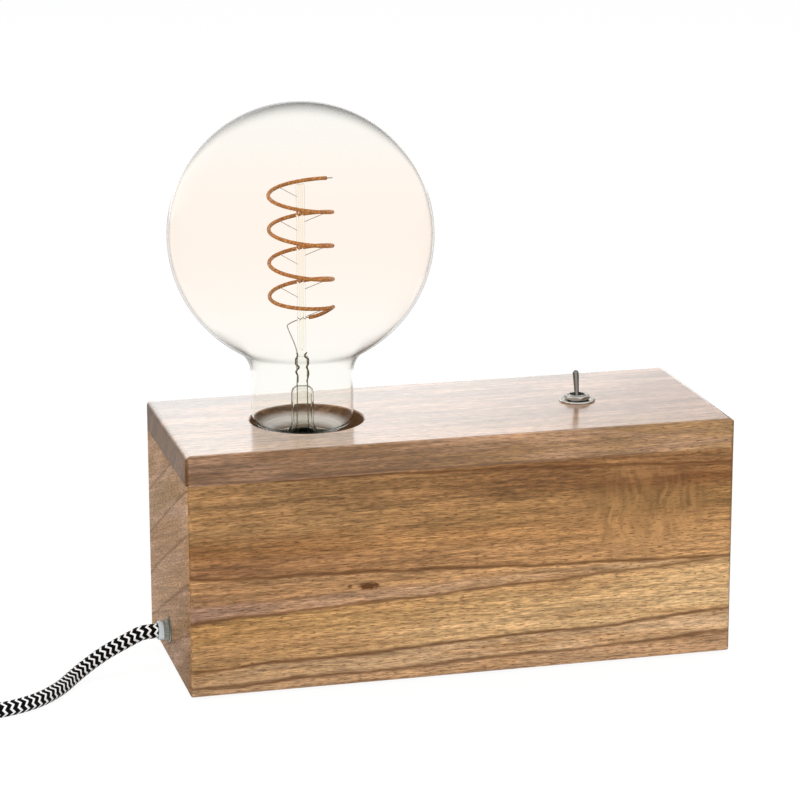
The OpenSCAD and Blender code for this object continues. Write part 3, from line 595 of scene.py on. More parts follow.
@dataclass(frozen=True)
class Finish:
    """A named finish; each kind of finish says how its surface is made."""

    name: str

    @cache
    def make(self) -> bpy.types.Material:
        """Build the material, once.

        Returns:
            The material, which is the same one each time that it is asked for.
        """
        material = bpy.data.materials.new(self.name)
        node = empty_tree(material)
        shader = node("ShaderNodeBsdfPrincipled", self.surface(node))
        node("ShaderNodeOutputMaterial", {"Surface": shader})
        return material

    def surface(self, node: Adder) -> dict[str, Any]:
        """Add the nodes of the finish, on object coordinates.

        Args:
            node: Adds a node to the material.

        Returns:
            The surface shader's inputs, and what goes into each.
        """
        raise NotImplementedError(self.name)


@dataclass(frozen=True)
class GrowthLine:
    """A dark growth line across a board, and the tones of the wood above it.

    Heights are in millimetres across the board, and tones are as written, at its two ends.
    """

    start: float
    end: float
    tone: str
    far_tone: str
    width: float = 1.2
    depth: float = 0.45
    blend: float = 1.5


@dataclass(frozen=True)
class Spot:
    """A knot or a patch of figure: its middle and half sizes along and across the board."""

    along: float
    across: float
    half_length: float
    half_height: float
    depth: float = 1.0


@dataclass(frozen=True)
class BoardPlace:
    """The place on a board in a material's tree, in millimetres, and what adds nodes to it."""

    node: Adder
    along: Node
    across: Node
    point: Node

    def noise(self, grain: Point, detail: float, shift: Point) -> Node:
        """Add noise whose grain has a real size.

        Args:
            grain: Size of one grain along, across and through the board.
            detail: Octaves of finer noise on it.
            shift: Shift that keeps it apart from other noises.

        Returns:
            The noise.
        """
        scale = tuple(1 / g for g in grain)
        mapping = {"Vector": self.point, "Location": shift, "Scale": scale}
        scaled = self.node("ShaderNodeMapping", mapping)
        shape = {"Vector": scaled, "Scale": 1.0, "Detail": detail, "Roughness": 0.55}
        return self.node("ShaderNodeTexNoise", shape)

    def away(self, spot: Spot) -> Node:
        """Add the distance from a spot's middle, where 1 is its edge.

        Args:
            spot: The spot.

        Returns:
            The distance.
        """
        middle = (spot.along, spot.across, 0)
        scale = (1 / spot.half_length, 1 / spot.half_height, 0)
        flat = self.node("ShaderNodeCombineXYZ", {"X": self.along, "Y": self.across})
        off = self.node("ShaderNodeVectorMath", {0: flat, 1: middle}, operation="SUBTRACT")
        off = self.node("ShaderNodeVectorMath", {0: off, 1: scale}, operation="MULTIPLY")
        return self.node("ShaderNodeVectorMath", {0: off}, operation="LENGTH")


@dataclass(frozen=True)
class OiledWood(Finish):
    """Planed and varnished tropical hardwood: growth lines, and pores in short dark dashes.

    The eye sees warm bands with fine streaks, and at a slant the varnish mirrors the room.
    Grains are sized in millimetres along, across and through the board, the growth lines
    swing by millimetres, and a depth of 1 is the whole tone. The real pores are too fine to
    show in the render, so they are drawn coarser.
    """

    along: Point
    across: Point
    half_length: float
    tone: str
    far_tone: str
    lines: tuple[GrowthLine, ...] = ()
    knots: tuple[Spot, ...] = ()
    curls: tuple[Spot, ...] = ()
    seed: float = 0.0
    roughness: float = 0.45
    varnish: float = 0.1
    varnish_roughness: float = 0.17
    gloss: float = 0.15
    pink: str = "C79A78"
    dark: str = "5E3818"
    end_grain: str = "5B4630"
    contrast: float = 1.0
    wave: Point = (70, 26, 40)
    ripple: Point = (14, 3.0, 8)
    blotch: Point = (60, 9, 30)
    streak: Point = (46, 1.9, 6)
    fibre: Point = (5.5, 0.62, 0.62)
    pore: Point = (3.6, 0.5, 0.5)
    wave_swing: float = 5.0
    ripple_swing: float = 2.6
    blotch_depth: float = 0.55
    streak_depth: Pair = (0.3, 0.28)
    fibre_depth: Pair = (0.46, 0.42)
    pore_depth: float = 0.8
    end_depth: float = 0.62
    knot_edge: Point = (2.2, 0.9, 1.5)
    curl_twist: Point = (14, 16, 20)
    curl_figure: Point = (3.4, 15, 10)

    def surface(self, node: Adder) -> dict[str, Any]:
        """Add the bands, streaks, fibres, pores and figure, on object coordinates.

        Args:
            node: Adds a node to the material.

        Returns:
            The surface shader's inputs, and what goes into each.
        """
        given = node("ShaderNodeTexCoord").outputs
        scaled = {0: given["Object"], "Scale": 1 / MM}
        place = node("ShaderNodeVectorMath", scaled, operation="SCALE")
        through = Vector(self.along).cross(Vector(self.across))
        along, across, deep = (
            node("ShaderNodeVectorMath", {0: place, 1: way}, operation="DOT_PRODUCT")
            for way in (self.along, self.across, through)
        )
        point = node("ShaderNodeCombineXYZ", {"X": along, "Y": across, "Z": deep})
        board = BoardPlace(node, along, across, point)

        # Slow waves bend the growth lines; streaks, fibres and pores run along the board
        wave = self._noise(board, self.wave, 2, 0.0)
        slow = {0: wave, 1: self.wave_swing, 2: -self.wave_swing / 2}
        swing = node("ShaderNodeMath", slow, operation="MULTIPLY_ADD")
        ripple = self._noise(board, self.ripple, 3, 3.0)
        quick = {0: ripple, 1: self.ripple_swing, 2: swing}
        swing = node("ShaderNodeMath", quick, operation="MULTIPLY_ADD")
        middle = self.ripple_swing / 2
        swing = node("ShaderNodeMath", {0: swing, 1: middle}, operation="SUBTRACT")
        height = node("ShaderNodeMath", {0: across, 1: swing}, operation="ADD")
        colour, darkness = self._bands(board, height)

        blotch = self._noise(board, self.blotch, 3, 7.0)
        blotch = node("ShaderNodeMapRange", {0: blotch, 1: 0.45, 2: 0.66, 4: self.blotch_depth})
        tone = node("ShaderNodeMix", {0: blotch, 6: colour, 7: self.pink}, data_type="RGBA")
        streak = self._noise(board, self.streak, 4, 11.0)
        least, most = self._tones(self.streak_depth)
        streak = node("ShaderNodeMapRange", {0: streak, 1: 0.34, 2: 0.66, 3: least, 4: most})
        fibre = self._noise(board, self.fibre, 3, 17.0)
        least, most = self._tones(self.fibre_depth)
        fibre = node("ShaderNodeMapRange", {0: fibre, 1: 0.3, 2: 0.7, 3: least, 4: most})
        shade = node("ShaderNodeMath", {0: streak, 1: fibre}, operation="MULTIPLY")
        for curl in self.curls:
            shade = self._curl(board, curl, shade)
        tone = node("ShaderNodeVectorMath", {0: tone, "Scale": shade}, operation="SCALE")

        pore = self._noise(board, self.pore, 2, 23.0)
        pore = node("ShaderNodeMapRange", {0: pore, 1: 0.56, 2: 0.68, 4: self.pore_depth})
        darkness = node("ShaderNodeMath", {0: darkness, 1: pore}, operation="MAXIMUM")
        for knot in self.knots:
            darkness = self._knot(board, knot, darkness)
        tone = node("ShaderNodeMix", {0: darkness, 6: tone, 7: self.dark}, data_type="RGBA")

        # Where a face cuts across the fibres, the wood drinks more oil and looks darker
        normal = {0: given["Normal"], 1: self.along}
        facing = node("ShaderNodeVectorMath", normal, operation="DOT_PRODUCT")
        facing = node("ShaderNodeMath", {0: facing}, operation="ABSOLUTE")
        facing = {0: facing, 1: 0.45, 2: 0.9, 4: self.end_depth}
        cross = node("ShaderNodeMapRange", facing, interpolation_type="SMOOTHSTEP")
        least, most = self.roughness - 0.05, self.roughness + 0.12
        pores = {"Strength": 0.35, "Distance": 0.0002, "Height": pore}
        ends = {0: cross, 6: tone, 7: self.end_grain}
        return {
            "Base Color": node("ShaderNodeMix", ends, data_type="RGBA"),
            "Roughness": node(
                "ShaderNodeMapRange", {0: fibre, 1: 0.56, 2: 1.38, 3: most, 4: least}
            ),
            "Specular IOR Level": self.gloss,
            "Coat Weight": node("ShaderNodeMapRange", {0: cross, 2: 0.6, 3: self.varnish, 4: 0.0}),
            "Coat Roughness": self.varnish_roughness,
            "Normal": node("ShaderNodeBump", pores, invert=True),
        }

    def _tones(self, depth: Pair) -> Pair:
        """Darkest and lightest share of the tone, for depths below and above it."""
        return 1 - depth[0] * self.contrast, 1 + depth[1] * self.contrast

    def _noise(self, board: BoardPlace, grain: Point, detail: float, offset: float) -> Node:
        """Add this board's own noise.

        Args:
            board: Place on the board.
            grain: Size of one grain.
            detail: Octaves of finer noise on it.
            offset: Shift that keeps it apart from the board's other noises.

        Returns:
            The noise.
        """
        shift = (self.seed + offset, self.seed * 0.7 + offset, offset)
        return board.noise(grain, detail, shift)

    def _bands(self, board: BoardPlace, height: Node) -> tuple[Node, Node | float]:
        """Stack the board's bands, one above each growth line.

        Args:
            board: Place on the board.
            height: Place across the board, bent by its waves.

        Returns:
            The colour of the bands, and the darkness of the lines.
        """
        node = board.node
        ends = {0: board.along, 1: -self.half_length, 2: self.half_length}
        share = node("ShaderNodeMapRange", ends)
        tones = {0: share, 6: self.tone, 7: self.far_tone}
        colour = node("ShaderNodeMix", tones, data_type="RGBA")
        darkness: Node | float = 0.0
        for line in self.lines:
            slope = (line.end - line.start) / (2 * self.half_length)
            middle = (line.end + line.start) / 2
            course = {0: board.along, 1: slope, 2: middle}
            base = node("ShaderNodeMath", course, operation="MULTIPLY_ADD")
            offset = node("ShaderNodeMath", {0: height, 1: base}, operation="SUBTRACT")
            above = {0: offset, 1: -line.blend, 2: line.blend}
            above = node("ShaderNodeMapRange", above, interpolation_type="SMOOTHSTEP")
            tones = {0: share, 6: line.tone, 7: line.far_tone}
            band = node("ShaderNodeMix", tones, data_type="RGBA")
            colour = node("ShaderNodeMix", {0: above, 6: colour, 7: band}, data_type="RGBA")
            near = node("ShaderNodeMath", {0: offset}, operation="ABSOLUTE")
            mark = {0: near, 1: line.width, 2: 0.0, 4: line.depth}
            mark = node("ShaderNodeMapRange", mark, interpolation_type="SMOOTHSTEP")
            darkness = node("ShaderNodeMath", {0: darkness, 1: mark}, operation="MAXIMUM")
        return colour, darkness

    def _knot(self, board: BoardPlace, knot: Spot, darkness: Node) -> Node:
        """Add a knot with a ragged edge to the darkness.

        Args:
            board: Place on the board.
            knot: The knot.
            darkness: Darkness so far.

        Returns:
            The darkness with the knot in it.
        """
        node = board.node
        ragged = self._noise(board, self.knot_edge, 3, knot.along)
        edge = {0: ragged, 1: 1.6, 2: board.away(knot)}
        away = node("ShaderNodeMath", edge, operation="MULTIPLY_ADD")
        mark = node("ShaderNodeMapRange", {0: away, 1: 1.9, 2: 1.45, 4: knot.depth})
        return node("ShaderNodeMath", {0: darkness, 1: mark}, operation="MAXIMUM")

    def _curl(self, board: BoardPlace, curl: Spot, shade: Node) -> Node:
        """Lay a patch of curly figure over the shade.

        Args:
            board: Place on the board.
            curl: The patch.
            shade: Shade so far.

        Returns:
            The shade with the figure in it.
        """
        node = board.node
        inside = {0: board.away(curl), 1: 1.0, 2: 0.45}
        patch = node("ShaderNodeMapRange", inside, interpolation_type="SMOOTHSTEP")
        twist = self._noise(board, self.curl_twist, 3, 31.0).outputs["Color"]
        bend = {0: twist, 1: (16, 10, 0), 2: board.point}
        twisted = node("ShaderNodeVectorMath", bend, operation="MULTIPLY_ADD")
        figure = self._noise(replace(board, point=twisted), self.curl_figure, 3, 37.0)
        figure = node("ShaderNodeMapRange", {0: figure, 1: 0.3, 2: 0.6, 3: 0.66, 4: 1.14})
        return node("ShaderNodeMix", {0: patch, 2: shade, 3: figure}, data_type="FLOAT")


@dataclass(frozen=True)
class SawnWood(Finish):
    """Plain sawn wood or plywood inside and under the block: rough, with straight fibres."""

    colour: str
    shade: str
    grain: Point
    roughness: float = 0.75

    def surface(self, node: Adder) -> dict[str, Any]:
        """Add the fibres, on object coordinates.

        Args:
            node: Adds a node to the material.

        Returns:
            The surface shader's inputs, and what goes into each.
        """
        place = node("ShaderNodeTexCoord").outputs["Object"]
        scale = tuple(1 / (g * MM) for g in self.grain)
        place = node("ShaderNodeMapping", {"Vector": place, "Scale": scale})
        fibres = node("ShaderNodeTexNoise", {"Vector": place, "Scale": 1.0, "Detail": 5.0})
        share = node("ShaderNodeMapRange", {0: fibres, 1: 0.3, 2: 0.7})
        tones = {0: share, 6: self.colour, 7: self.shade}
        relief = {"Strength": 0.5, "Distance": 0.0003, "Height": fibres}
        return {
            "Base Color": node("ShaderNodeMix", tones, data_type="RGBA"),
            "Roughness": self.roughness,
            "Normal": node("ShaderNodeBump", relief),
        }


@dataclass(frozen=True)
class PlatedMetal(Finish):
    """Plated or bare metal: bright, with faint turning marks, uneven polish and painted shade at
    its edges.
    """

    colour: str
    roughness: float
    spread: float = 0.12
    mark: Point = (1.2, 1.2, 0.15)
    rim: float = 0.35
    dimming: float = 0.82

    def surface(self, node: Adder) -> dict[str, Any]:
        """Add the turning marks, on object coordinates.

        Args:
            node: Adds a node to the material.

        Returns:
            The surface shader's inputs, and what goes into each.
        """
        place = node("ShaderNodeTexCoord").outputs["Object"]
        scale = tuple(1 / (m * MM) for m in self.mark)
        place = node("ShaderNodeMapping", {"Vector": place, "Scale": scale})
        marks = node("ShaderNodeTexNoise", {"Vector": place, "Scale": 1.0, "Detail": 4.0})
        pale = linear(self.colour)
        dim = (*(c * self.dimming for c in pale[:3]), 1.0)
        most = self.roughness + self.spread
        rough = {0: marks, 1: 0.3, 2: 0.7, 3: self.roughness, 4: most}
        relief = {"Strength": 0.12, "Distance": 0.0001, "Height": marks}
        return {
            "Base Color": node("ShaderNodeMix", {0: marks, 6: dim, 7: pale}, data_type="RGBA"),
            "Roughness": node("ShaderNodeMapRange", rough),
            "Metallic": 1.0,
            # Painted edge shade: a Specular Tint far below the metal's colour darkens it where the
            # eye looks along the surface
            "Specular Tint": (self.rim, self.rim, self.rim, 1.0),
            "Normal": node("ShaderNodeBump", relief),
        }


@dataclass(frozen=True)
class Moulded(Finish):
    """Moulded plastic, rubber or pressed ceramic: one tone with a fine uneven skin."""

    colour: str
    roughness: float
    grain: float = 0.35
    relief: float = 0.00008
    variation: float = 0.12
    spread: float = 0.06
    ior: float = 1.5

    def surface(self, node: Adder) -> dict[str, Any]:
        """Add the skin, on object coordinates.

        Args:
            node: Adds a node to the material.

        Returns:
            The surface shader's inputs, and what goes into each.
        """
        place = node("ShaderNodeTexCoord").outputs["Object"]
        skin = {"Vector": place, "Scale": 1 / (self.grain * MM), "Detail": 3.0}
        fine = node("ShaderNodeTexNoise", skin)
        wide = node("ShaderNodeTexNoise", {"Vector": place, "Scale": 90.0, "Detail": 2.0})
        pale = linear(self.colour)
        dim = (*(c * (1 - self.variation) for c in pale[:3]), 1.0)
        least, most = self.roughness - self.spread, self.roughness + self.spread
        relief = {"Strength": 0.3, "Distance": self.relief, "Height": fine}
        return {
            "Base Color": node("ShaderNodeMix", {0: wide, 6: dim, 7: pale}, data_type="RGBA"),
            "Roughness": node("ShaderNodeMapRange", {0: fine, 1: 0.3, 2: 0.7, 3: least, 4: most}),
            "IOR": self.ior,
            "Normal": node("ShaderNodeBump", relief),
        }


@dataclass(frozen=True)
class BlownGlass(Finish):
    """Thin blown glass with a metal-oxide tint: clear, with painted shade where the eye looks
    along it.

    The tint is deepest at the middle of the bulb and fades towards its crown and its neck.
    Rims give, for heights in metres, the slant at which the painted shade starts: a dark edge
    colour standing in for the dark room that the wall mirrors at a slant; it starts sooner
    at the crown and in the shoulders. The painted reflection is a whitish band at the heel,
    where less light passes the glass.
    """

    face: str
    middle: str
    edge: str
    rims: tuple[Pair, ...]
    ior: float = 1.06
    centre: float = 0.206
    reach: float = 0.062
    painted_reflection: float = 0.0
    heel: float = 0.1128
    heel_reach: float = 0.0034

    def surface(self, node: Adder) -> dict[str, Any]:
        """Add the tint, the painted shade that deepens with the slant of the wall, and the painted
        reflection.

        Args:
            node: Adds a node to the material.

        Returns:
            The surface shader's inputs, and what goes into each.
        """
        place = node("ShaderNodeTexCoord").outputs["Object"]
        height = node("ShaderNodeSeparateXYZ", {0: place}).outputs["Z"]
        warm = self._near(node, height, self.centre, self.reach, 0.0, 1.0)
        tones = {0: warm, 6: self.face, 7: self.middle}
        tone = node("ShaderNodeMix", tones, data_type="RGBA")
        low, high = self.rims[0][0], self.rims[-1][0]
        level = node("ShaderNodeMapRange", {0: height, 1: low, 2: high})
        start = node("ShaderNodeValToRGB", {"Fac": level})
        stops = start.color_ramp.elements
        while len(stops) < len(self.rims):
            stops.new(0.5)
        for stop, (at, value) in zip(stops, self.rims):
            stop.position = (at - low) / (high - low)
            stop.color = (value, value, value, 1.0)
        facing = node("ShaderNodeLayerWeight", {"Blend": 0.5}).outputs["Facing"]
        slant = {0: facing, 1: start, 2: 1.0}
        slant = node("ShaderNodeMapRange", slant, interpolation_type="SMOOTHSTEP")
        wave = node("ShaderNodeTexNoise", {"Vector": place, "Scale": 28.0, "Detail": 1.0})
        relief = {"Strength": 0.05, "Distance": 0.0004, "Height": wave}
        # Painted shade: the wall turns to the dark edge colour as it slants away from the eye
        tones = {0: slant, 6: tone, 7: self.edge}
        return {
            "Base Color": node("ShaderNodeMix", tones, data_type="RGBA"),
            "Normal": node("ShaderNodeBump", relief),
            "Roughness": 0.0,
            "IOR": self.ior,
            # Painted reflection: less light passes the glass near the heel, which shows as a
            # whitish band
            "Transmission Weight": self._near(
                node, height, self.heel, self.heel_reach, 1.0, 1.0 - self.painted_reflection
            ),
        }

    def _near(
        self,
        node: Adder,
        height: bpy.types.NodeSocket,
        level: float,
        reach: float,
        far_value: float,
        near_value: float,
    ) -> Node:
        """Add a value that eases to another one near a level.

        Args:
            node: Adds a node to the material.
            height: Height in the lamp, in metres.
            level: Height at which the change is greatest.
            reach: Distance from it at which the change ends.
            far_value: Value beyond the reach.
            near_value: Value at the level.

        Returns:
            The value.
        """
        off = node("ShaderNodeMath", {0: height, 1: level}, operation="SUBTRACT")
        off = node("ShaderNodeMath", {0: off}, operation="ABSOLUTE")
        ease = {0: off, 1: reach, 2: 0.0, 3: far_value, 4: near_value}
        return node("ShaderNodeMapRange", ease, interpolation_type="SMOOTHSTEP")


@dataclass(frozen=True)
class PhosphorStrip(Finish):
    """Silicone strand filled with amber phosphor: matt, with rows of dots under its skin."""

    colour: str
    shade: str
    dot: float = 1.1
    roughness: float = 0.45
    depth: float = 0.001

    def surface(self, node: Adder) -> dict[str, Any]:
        """Add the dots, on object coordinates.

        Args:
            node: Adds a node to the material.

        Returns:
            The surface shader's inputs, and what goes into each.
        """
        place = node("ShaderNodeTexCoord").outputs["Object"]
        dots = {"Vector": place, "Scale": 1 / (self.dot * MM)}
        cells = node("ShaderNodeTexVoronoi", dots).outputs["Distance"]
        share = node("ShaderNodeMapRange", {0: cells, 1: 0.1, 2: 0.6})
        tones = {0: share, 6: self.colour, 7: self.shade}
        return {
            "Base Color": node("ShaderNodeMix", tones, data_type="RGBA"),
            "Roughness": self.roughness,
            "Subsurface Weight": 0.2,
            "Subsurface Scale": self.depth,
        }


@dataclass(frozen=True)
class BraidedYarn(Finish):
    """Cotton braid in two colours: zigzag bands across the cord, with the yarns standing up."""

    dark: str
    pale: str
    band: float
    chevrons: int
    swing: float
    length: float
    plies: float = 4.0

    def surface(self, node: Adder) -> dict[str, Any]:
        """Add the bands and the yarns on the cord's own map, round it and along it.

        Args:
            node: Adds a node to the material.

        Returns:
            The surface shader's inputs, and what goes into each.
        """
        parts = node("ShaderNodeSeparateXYZ", {0: node("ShaderNodeUVMap", uv_map="along_cord")})
        turns = {0: parts.outputs["X"], 1: 2.0 * self.chevrons}
        fold = node("ShaderNodeMath", turns, operation="MULTIPLY")
        fold = node("ShaderNodeMath", {0: fold, 1: 1.0}, operation="PINGPONG")
        bands = {0: parts.outputs["Y"], 1: self.length / self.band}
        along = node("ShaderNodeMath", bands, operation="MULTIPLY")
        zigzag = {0: fold, 1: self.swing, 2: along}
        place = node("ShaderNodeMath", zigzag, operation="MULTIPLY_ADD")
        band = node("ShaderNodeMath", {0: place, 1: 0.5}, operation="PINGPONG")
        mask = node("ShaderNodeMapRange", {0: band, 1: 0.31, 2: 0.335})
        ply = node("ShaderNodeMath", {0: place, 1: self.plies}, operation="MULTIPLY")
        ply = node("ShaderNodeMath", {0: ply, 1: 0.5}, operation="PINGPONG")
        tones = {0: mask, 6: self.dark, 7: self.pale}
        relief = {"Strength": 0.6, "Distance": 0.0003, "Height": ply}
        return {
            "Base Color": node("ShaderNodeMix", tones, data_type="RGBA"),
            "Roughness": 0.85,
            "Specular IOR Level": 0.12,
            "Sheen Weight": 0.01,
            "Normal": node("ShaderNodeBump", relief),
        }


# ---------- Finishes of this lamp ----------

FRONT_WOOD = OiledWood(
    "oiled_wood_front",
    along=(1, 0, 0),
    across=(0, 0, 1),
    half_length=132,
    tone="B9946F",
    far_tone="CCA27A",
    lines=(
        GrowthLine(5.0, 11.5, "B38F68", "E0BA90", 1.6, 0.72),
        GrowthLine(14.0, 22.5, "B2895B", "E8C08C", 1.8, 0.8),
        GrowthLine(26.0, 34.0, "B28650", "DDB480", 1.0, 0.0, 5.0),
        GrowthLine(37.0, 49.0, "A7826A", "D2A878", 1.6, 0.72),
        GrowthLine(44.5, 52.0, "9E7652", "D2A470", 1.0, 0.3),
        GrowthLine(59.0, 49.5, "8C6240", "CA9A66", 1.5, 0.78),
        GrowthLine(67.0, 62.0, "8E6238", "C0905C", 1.0, 0.0, 4.0),
        GrowthLine(77.0, 72.0, "A07A50", "9C7344", 1.0, 0.15, 5.0),
        GrowthLine(88.0, 86.0, "927049", "7E512C", 1.0, 0.0, 5.0),
        GrowthLine(104.5, 96.5, "7E5832", "966A42", 1.2, 0.75),
    ),
    knots=(Spot(-47, 49, 5.5, 2.0, 1.0), Spot(-56, 49.5, 1.3, 1.0, 0.8)),
    curls=(Spot(88, 78, 42, 27),),
    seed=4.0,
    pink="BA8A58",
)
TOP_WOOD = OiledWood(
    "oiled_wood_top",
    along=(1, 0, 0),
    across=(0, 1, 1),
    half_length=132,
    tone="6E4B2C",
    far_tone="A0784A",
    lines=(
        GrowthLine(51.5, 50.5, "765130", "A47C4D", 1.0, 0.6),
        GrowthLine(66.0, 66.0, "A68A70", "9A7048", 1.0, 0.0),
        GrowthLine(84.0, 92.0, "97806A", "865E3E", 1.2, 0.35),
        GrowthLine(104.0, 121.0, "8C7560", "87603F", 1.6, 0.4),
        GrowthLine(136.0, 148.0, "7E6C5A", "785A3E", 1.4, 0.35),
        GrowthLine(152.0, 161.0, "776655", "7E6046", 1.2, 0.3),
    ),
    seed=9.0,
    roughness=0.4,
    varnish=1.0,
    gloss=0.1,
    end_grain="5C3A18",
)
# The end boards' tones fade from light at the back to darker at the front: the lighter back part
# is a painted highlight, and the growth lines are the wood's own
END_WOOD = OiledWood(
    "oiled_wood_end",
    along=(0, -1, 0),
    across=(0, 0.35, 1),
    half_length=52,
    tone="BC9C84",
    far_tone="8E6C4C",
    lines=(
        GrowthLine(8.0, 14.0, "B5926E", "98744F", 1.4, 0.45),
        GrowthLine(26.0, 38.0, "BE9A7A", "AC855E", 1.4, 0.5),
        GrowthLine(48.0, 62.0, "AA8564", "B18A62", 1.6, 0.5),
        GrowthLine(68.0, 84.0, "B49272", "94703F", 1.2, 0.55),
        GrowthLine(90.0, 104.0, "AC8762", "9C7650", 1.2, 0.5),
    ),
    seed=15.0,
    roughness=0.6,
    varnish=0.0,
    gloss=0.1,
    pink="CBA68C",
    end_grain="A07A58",
    contrast=0.7,
)
BACK_WOOD = OiledWood(
    "oiled_wood_back",
    along=(1, 0, 0),
    across=(0, 0, 1),
    half_length=132,
    tone="B18A64",
    far_tone="A67E58",
    lines=(
        GrowthLine(18.0, 10.0, "B2875C", "BA9168", 1.6, 0.5),
        GrowthLine(40.0, 34.0, "A2764E", "AE845C", 1.6, 0.55),
        GrowthLine(63.0, 60.0, "B48B62", "A67C54", 1.2, 0.4),
        GrowthLine(88.0, 80.0, "A67A52", "B58C64", 1.4, 0.55),
    ),
    knots=(Spot(52, 28, 4.5, 2.4, 0.9),),
    seed=27.0,
)

# The rest of the block, and plated steel fixings throughout the lamp
PINE = SawnWood("sawn_pine", "C8A878", "A98656", (1.2, 1.2, 40))
PLYWOOD = SawnWood("birch_plywood", "BFA47C", "A3855A", (45, 1.1, 6))
STEEL = PlatedMetal("zinc_plated_steel", "B9BBBE", 0.28)
PAD_RUBBER = Moulded("black_rubber", "1D1D1D", 0.7, 0.5)

# The bulb; the heights of the glass's rims run from the neck to the crown. The dark edge colour of
# both glasses is painted shade
GLOBE_GLASS = BlownGlass(
    "champagne_glass",
    face="FDFCF9",
    middle="FFF8F2",
    edge="1D1905",
    rims=(
        (0.1405, 0.95), (0.144, 0.54), (0.153, 0.56), (0.164, 0.76), (0.232, 0.76), (0.2655, 0.46),
    ),
    painted_reflection=0.3,
)
STEM_GLASS = BlownGlass("stem_glass", "FCFCF8", "FDFCF8", "3E3C22", ((0.1, 0.5), (0.25, 0.6)))
PHOSPHOR = PhosphorStrip("amber_phosphor", "C08344", "8C5A25")
LEAD_WIRE = PlatedMetal("nickel_wire", "A9A59C", 0.25)
SEAL_WIRE = PlatedMetal("oxidised_copper", "7C7450", 0.4)
CAP_SHELL = PlatedMetal("nickel_plated_brass", "C6C2BA", 0.2)
CAP_GLASS = Moulded("black_glass", "141414", 0.2)
SOLDER = PlatedMetal("soldered_contact", "BDBDC0", 0.35)
CIRCUIT_BOARD = Moulded("circuit_board", "2F6B3F", 0.4)

# The lamp holder
PHENOLIC = Moulded("black_phenolic", "1B1A19", 0.32, 0.5)
STEATITE = Moulded("glazed_steatite", "E4DFD3", 0.3, 0.6)
BRASS = PlatedMetal("rolled_brass", "C9A04E", 0.25)

# The switch: the lever mirrors darker than its bushing and nut
DARK_NICKEL = PlatedMetal("dark_nickel", "8F8A83", 0.1)
BRIGHT_NICKEL = PlatedMetal("bright_nickel", "DAD7D0", 0.1)
WASHER_NICKEL = PlatedMetal("polished_nickel_washer", "E2DFD8", 0.08)
SEAL_RUBBER = Moulded("black_seal", "0D0D0D", 0.6, 0.4)
SWITCH_HOUSING = Moulded("switch_housing", "23355E", 0.4)
TINNED_BRASS = PlatedMetal("tinned_brass", "C8C2B0", 0.3)

# The cord's entry, its leads and its plug: the gland is paler outside and darker next to the wall
SATIN_NICKEL = PlatedMetal("satin_nickel", "CDD4D6", 0.2)
NICKEL_BY_WALL = PlatedMetal("nickel_by_wall", "B9BBB2", 0.3, 0.2)
POLYAMIDE = Moulded("white_polyamide", "E6E3DB", 0.42)
SHEATH = Moulded("black_sheath", "1C1C1C", 0.6)
BROWN_INSULATION = Moulded("brown_insulation", "6B4226", 0.45)
BLUE_INSULATION = Moulded("blue_insulation", "2F5FA8", 0.45)
PLUG_BLACK = Moulded("moulded_plug", "1A1A1B", 0.42, 0.4)
PIN_METAL = PlatedMetal("plated_pin", "C9C6BE", 0.2)

LAMP_THREAD = RolledThread()  # of the cap and the sleeve that it screws into


# ---------- Sub-assemblies ----------


@dataclass(frozen=True)
class Kit:
    """What every sub-assembly is made with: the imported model's nodes and two shape trees."""

    nodes: Mapping[str, Piece]
    tube: bpy.types.NodeTree
    on_points: bpy.types.NodeTree

    def paint(self, finish: Finish, *names: str) -> None:
        """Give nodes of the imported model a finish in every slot.

        Args:
            finish: The finish.
            *names: Names of the nodes.
        """
        for name in names:
            node = self.nodes[name]
            if not node.material_slots:
                node.data.materials.append(finish.make())
            for slot in node.material_slots:
                slot.material = finish.make()
            LOG.info("%s takes %s", name, finish.name)

    def wires(
        self,
        name: str,
        lines: Iterable[Sequence[Sequence[float]]],
        radius: float,
        sides: int,
        finish: Finish,
    ) -> Piece:
        """Make round wires along lines of points, as one piece.

        Args:
            name: Name of the piece.
            lines: Centre line of each wire, in millimetres.
            radius: Radius of the wires.
            sides: Number of their sides.
            finish: Their finish.

        Returns:
            The piece.
        """
        inputs = {"Radius": radius * MM, "Sides": sides, "Finish": finish.make()}
        return run_tree(name, self.tube, lines, inputs)

    def copies(self, name: str, shape: Piece, points: Iterable[Point], finish: Finish) -> Piece:
        """Set copies of a shape on points, as one piece, and remove the shape.

        Args:
            name: Name of the piece.
            shape: The shape, made at the origin.
            points: Where its copies stand, in millimetres.
            finish: Their finish.

        Returns:
            The piece.
        """
        inputs = {"Shape": shape, "Finish": finish.make()}
        piece = run_tree(name, self.on_points, [[point] for point in points], inputs)
        bpy.data.objects.remove(shape)
        return piece


def keep(piece: Piece, body: Body, finish: Finish, slot: str, *nodes: str) -> Piece:
    """Dress a piece, set it on its body and hide the nodes that it stands for.

    Args:
        piece: The piece.
        body: Body that carries it.
        finish: Its finish.
        slot: Material slot of the record that it takes its finish from; not used.
        *nodes: Nodes that it replaces.

    Returns:
        The same piece.
    """
    piece.data.materials.clear()
    piece.data.materials.append(finish.make())
    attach(piece, body.value)
    if nodes:
        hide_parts(*nodes)
    LOG.info("%s rides on %s with %d faces", piece.name, body.value, len(piece.data.polygons))
    return piece


@dataclass
class SubAssembly:
    """A group of pieces made with one kit."""

    kit: Kit


